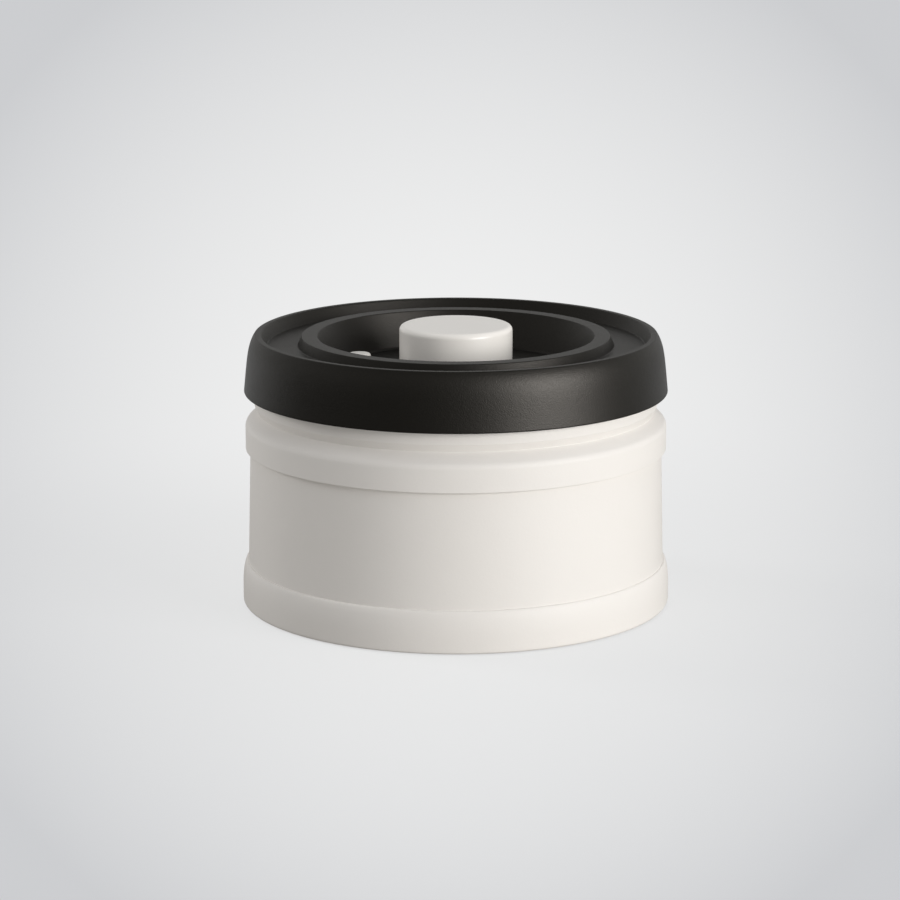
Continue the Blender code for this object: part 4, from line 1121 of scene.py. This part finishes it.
floor_mesh = bpy.data.meshes.new("floor")
work = bmesh.new()
bmesh.ops.create_circle(work, cap_ends=True, segments=FLOOR_SIDES, radius=FLOOR_RADIUS)
work.to_mesh(floor_mesh)
work.free()
floor = bpy.data.objects.new("floor", floor_mesh)
bpy.context.scene.collection.objects.link(floor)


def vector_math(tree, operation, vector, second=(0, 0, 0)):
    """A Vector Math node whose result is a number."""
    node = tree.nodes.new('ShaderNodeVectorMath')
    node.operation = operation
    plug(tree, node.inputs[0], vector)
    plug(tree, node.inputs[1], second)
    return node.outputs['Value']


def make_floor_material():
    """Plain pale diffuse. For the camera it is thin near the canister and clear further out. Mirrors see
    its front half in painted shade.
    """
    material = bpy.data.materials.new("pale_table")
    material.use_nodes = True
    tree = material.node_tree
    rays = tree.nodes.new('ShaderNodeLightPath').outputs
    place = object_place(tree)
    # Painted shade seen only in reflections: for mirror rays the table's front half turns dark and its back
    # half pale.
    behind = soft_ramp(tree, parts_of(tree, place)['Y'], MIRRORED_FLOOR_EDGES)
    mirrored = mix_colours(tree, behind, MIRRORED_FLOOR_PAINTED_SHADE, MIRRORED_FLOOR_BEHIND)
    unseen = mix_colours(tree, rays['Is Glossy Ray'], FLOOR_BOUNCE, mirrored)
    colour = mix_colours(tree, rays['Is Camera Ray'], unseen, FLOOR_SEEN)
    shader = fill(tree, tree.nodes['Principled BSDF'], Base_Color=colour, Roughness=FLOOR_ROUGHNESS,
                  Specular_IOR_Level=FLOOR_SPECULAR)
    fade = soft_ramp(tree, vector_math(tree, 'LENGTH', place), FLOOR_FADE_EDGES)
    hidden = math_node(tree, 'SUBTRACT', 1.0, math_node(tree, 'MULTIPLY', fade, FLOOR_SHOWN))
    clear = tree.nodes.new('ShaderNodeBsdfTransparent')
    mix = tree.nodes.new('ShaderNodeMixShader')
    plug(tree, mix.inputs[0], math_node(tree, 'MULTIPLY', hidden, rays['Is Camera Ray']))
    plug(tree, mix.inputs[1], shader.outputs[0])
    plug(tree, mix.inputs[2], clear.outputs[0])
    fill(tree, tree.nodes['Material Output'], Surface=mix.outputs[0])
    return material


def make_room():
    """The world: one glow for camera rays, another room for mirror rays and an even fill for the rest."""
    world = bpy.data.worlds.new("room")
    world.use_nodes = True
    tree = world.node_tree
    rays = tree.nodes.new('ShaderNodeLightPath').outputs
    direction = tree.nodes.new('ShaderNodeTexCoord').outputs['Generated']
    parts = parts_of(tree, direction)
    tilt = math.radians(CAMERA_TILT)
    glow = vector_math(tree, 'DOT_PRODUCT', direction, (0, math.cos(tilt), -math.sin(tilt)))
    seen = mix_colours(tree, ramp(tree, glow, ROOM_EDGES), ROOM_BRIGHT, ROOM_EDGE)
    behind = soft_ramp(tree, parts['Y'], MIRROR_EDGES)
    left = math_node(tree, 'MULTIPLY', soft_ramp(tree, parts['X'], MIRROR_LEFT_EDGES), MIRROR_LEFT_SHARE)
    mirrored = mix_colours(tree, math_node(tree, 'MAXIMUM', behind, left), MIRROR_FRONT, MIRROR_BEHIND)
    above = math_node(tree, 'MULTIPLY', soft_ramp(tree, parts['Z'], MIRROR_ABOVE_START),
                      soft_ramp(tree, parts['Z'], MIRROR_ABOVE_END))
    mirrored = mix_colours(tree, above, mirrored, MIRROR_ABOVE)
    even = mix_colours(tree, ramp(tree, parts['Z'], FILL_EDGES), FILL_LOW, FILL_HIGH)
    unseen = mix_colours(tree, rays['Is Glossy Ray'], even, mirrored)
    looks = math_node(tree, 'MAXIMUM', rays['Is Camera Ray'], rays['Is Transmission Ray'])
    fill(tree, tree.nodes['Background'], Color=mix_colours(tree, looks, unseen, seen))
    bpy.context.scene.world = world


floor_mesh.materials.append(make_floor_material())
make_room()
print("Floor and room stand")

# %% [markdown]
# One large soft light stands to the right and in front, a little above the lid: it gives the can
# its long change from grey on the left to near white on the right, and the lid its broad sheen.
# A weaker one on the left, a little behind, lifts the left edge. Mirrors don't see it, because the
# photographed lid has one highlight only.

# %% Lights
def soft_light(name, azimuth, elevation, distance, size, power, mirrored=True):
    """An area light on a sphere round the canister, aimed at its middle. Azimuth 0 is the camera's side."""
    data = bpy.data.lights.new(name, 'AREA')
    data.shape = 'RECTANGLE'
    data.size, data.size_y = size
    data.energy = power
    lamp = bpy.data.objects.new(name, data)
    across, up = math.radians(azimuth), math.radians(elevation)
    aim = np.array([0, 0, (cad_low.z + cad_high.z) / 2])
    way = np.array([math.sin(across) * math.cos(up), -math.cos(across) * math.cos(up), math.sin(up)])
    lamp.location = (aim + way * distance).tolist()
    lamp.rotation_euler = (math.radians(90) - up, 0, across)
    lamp.visible_camera = False
    lamp.visible_glossy = mirrored
    bpy.context.scene.collection.objects.link(lamp)
    print(f"{name}: {power} W, {azimuth} degrees round, {elevation} up")


soft_light("key_light", azimuth=50, elevation=13, distance=1.1, size=(0.70, 0.45), power=9.5)
soft_light("edge_light", azimuth=-112, elevation=18, distance=1.2, size=(0.4, 0.35), power=4.7,
           mirrored=False)

bpy.context.scene.view_settings.view_transform = 'Standard'
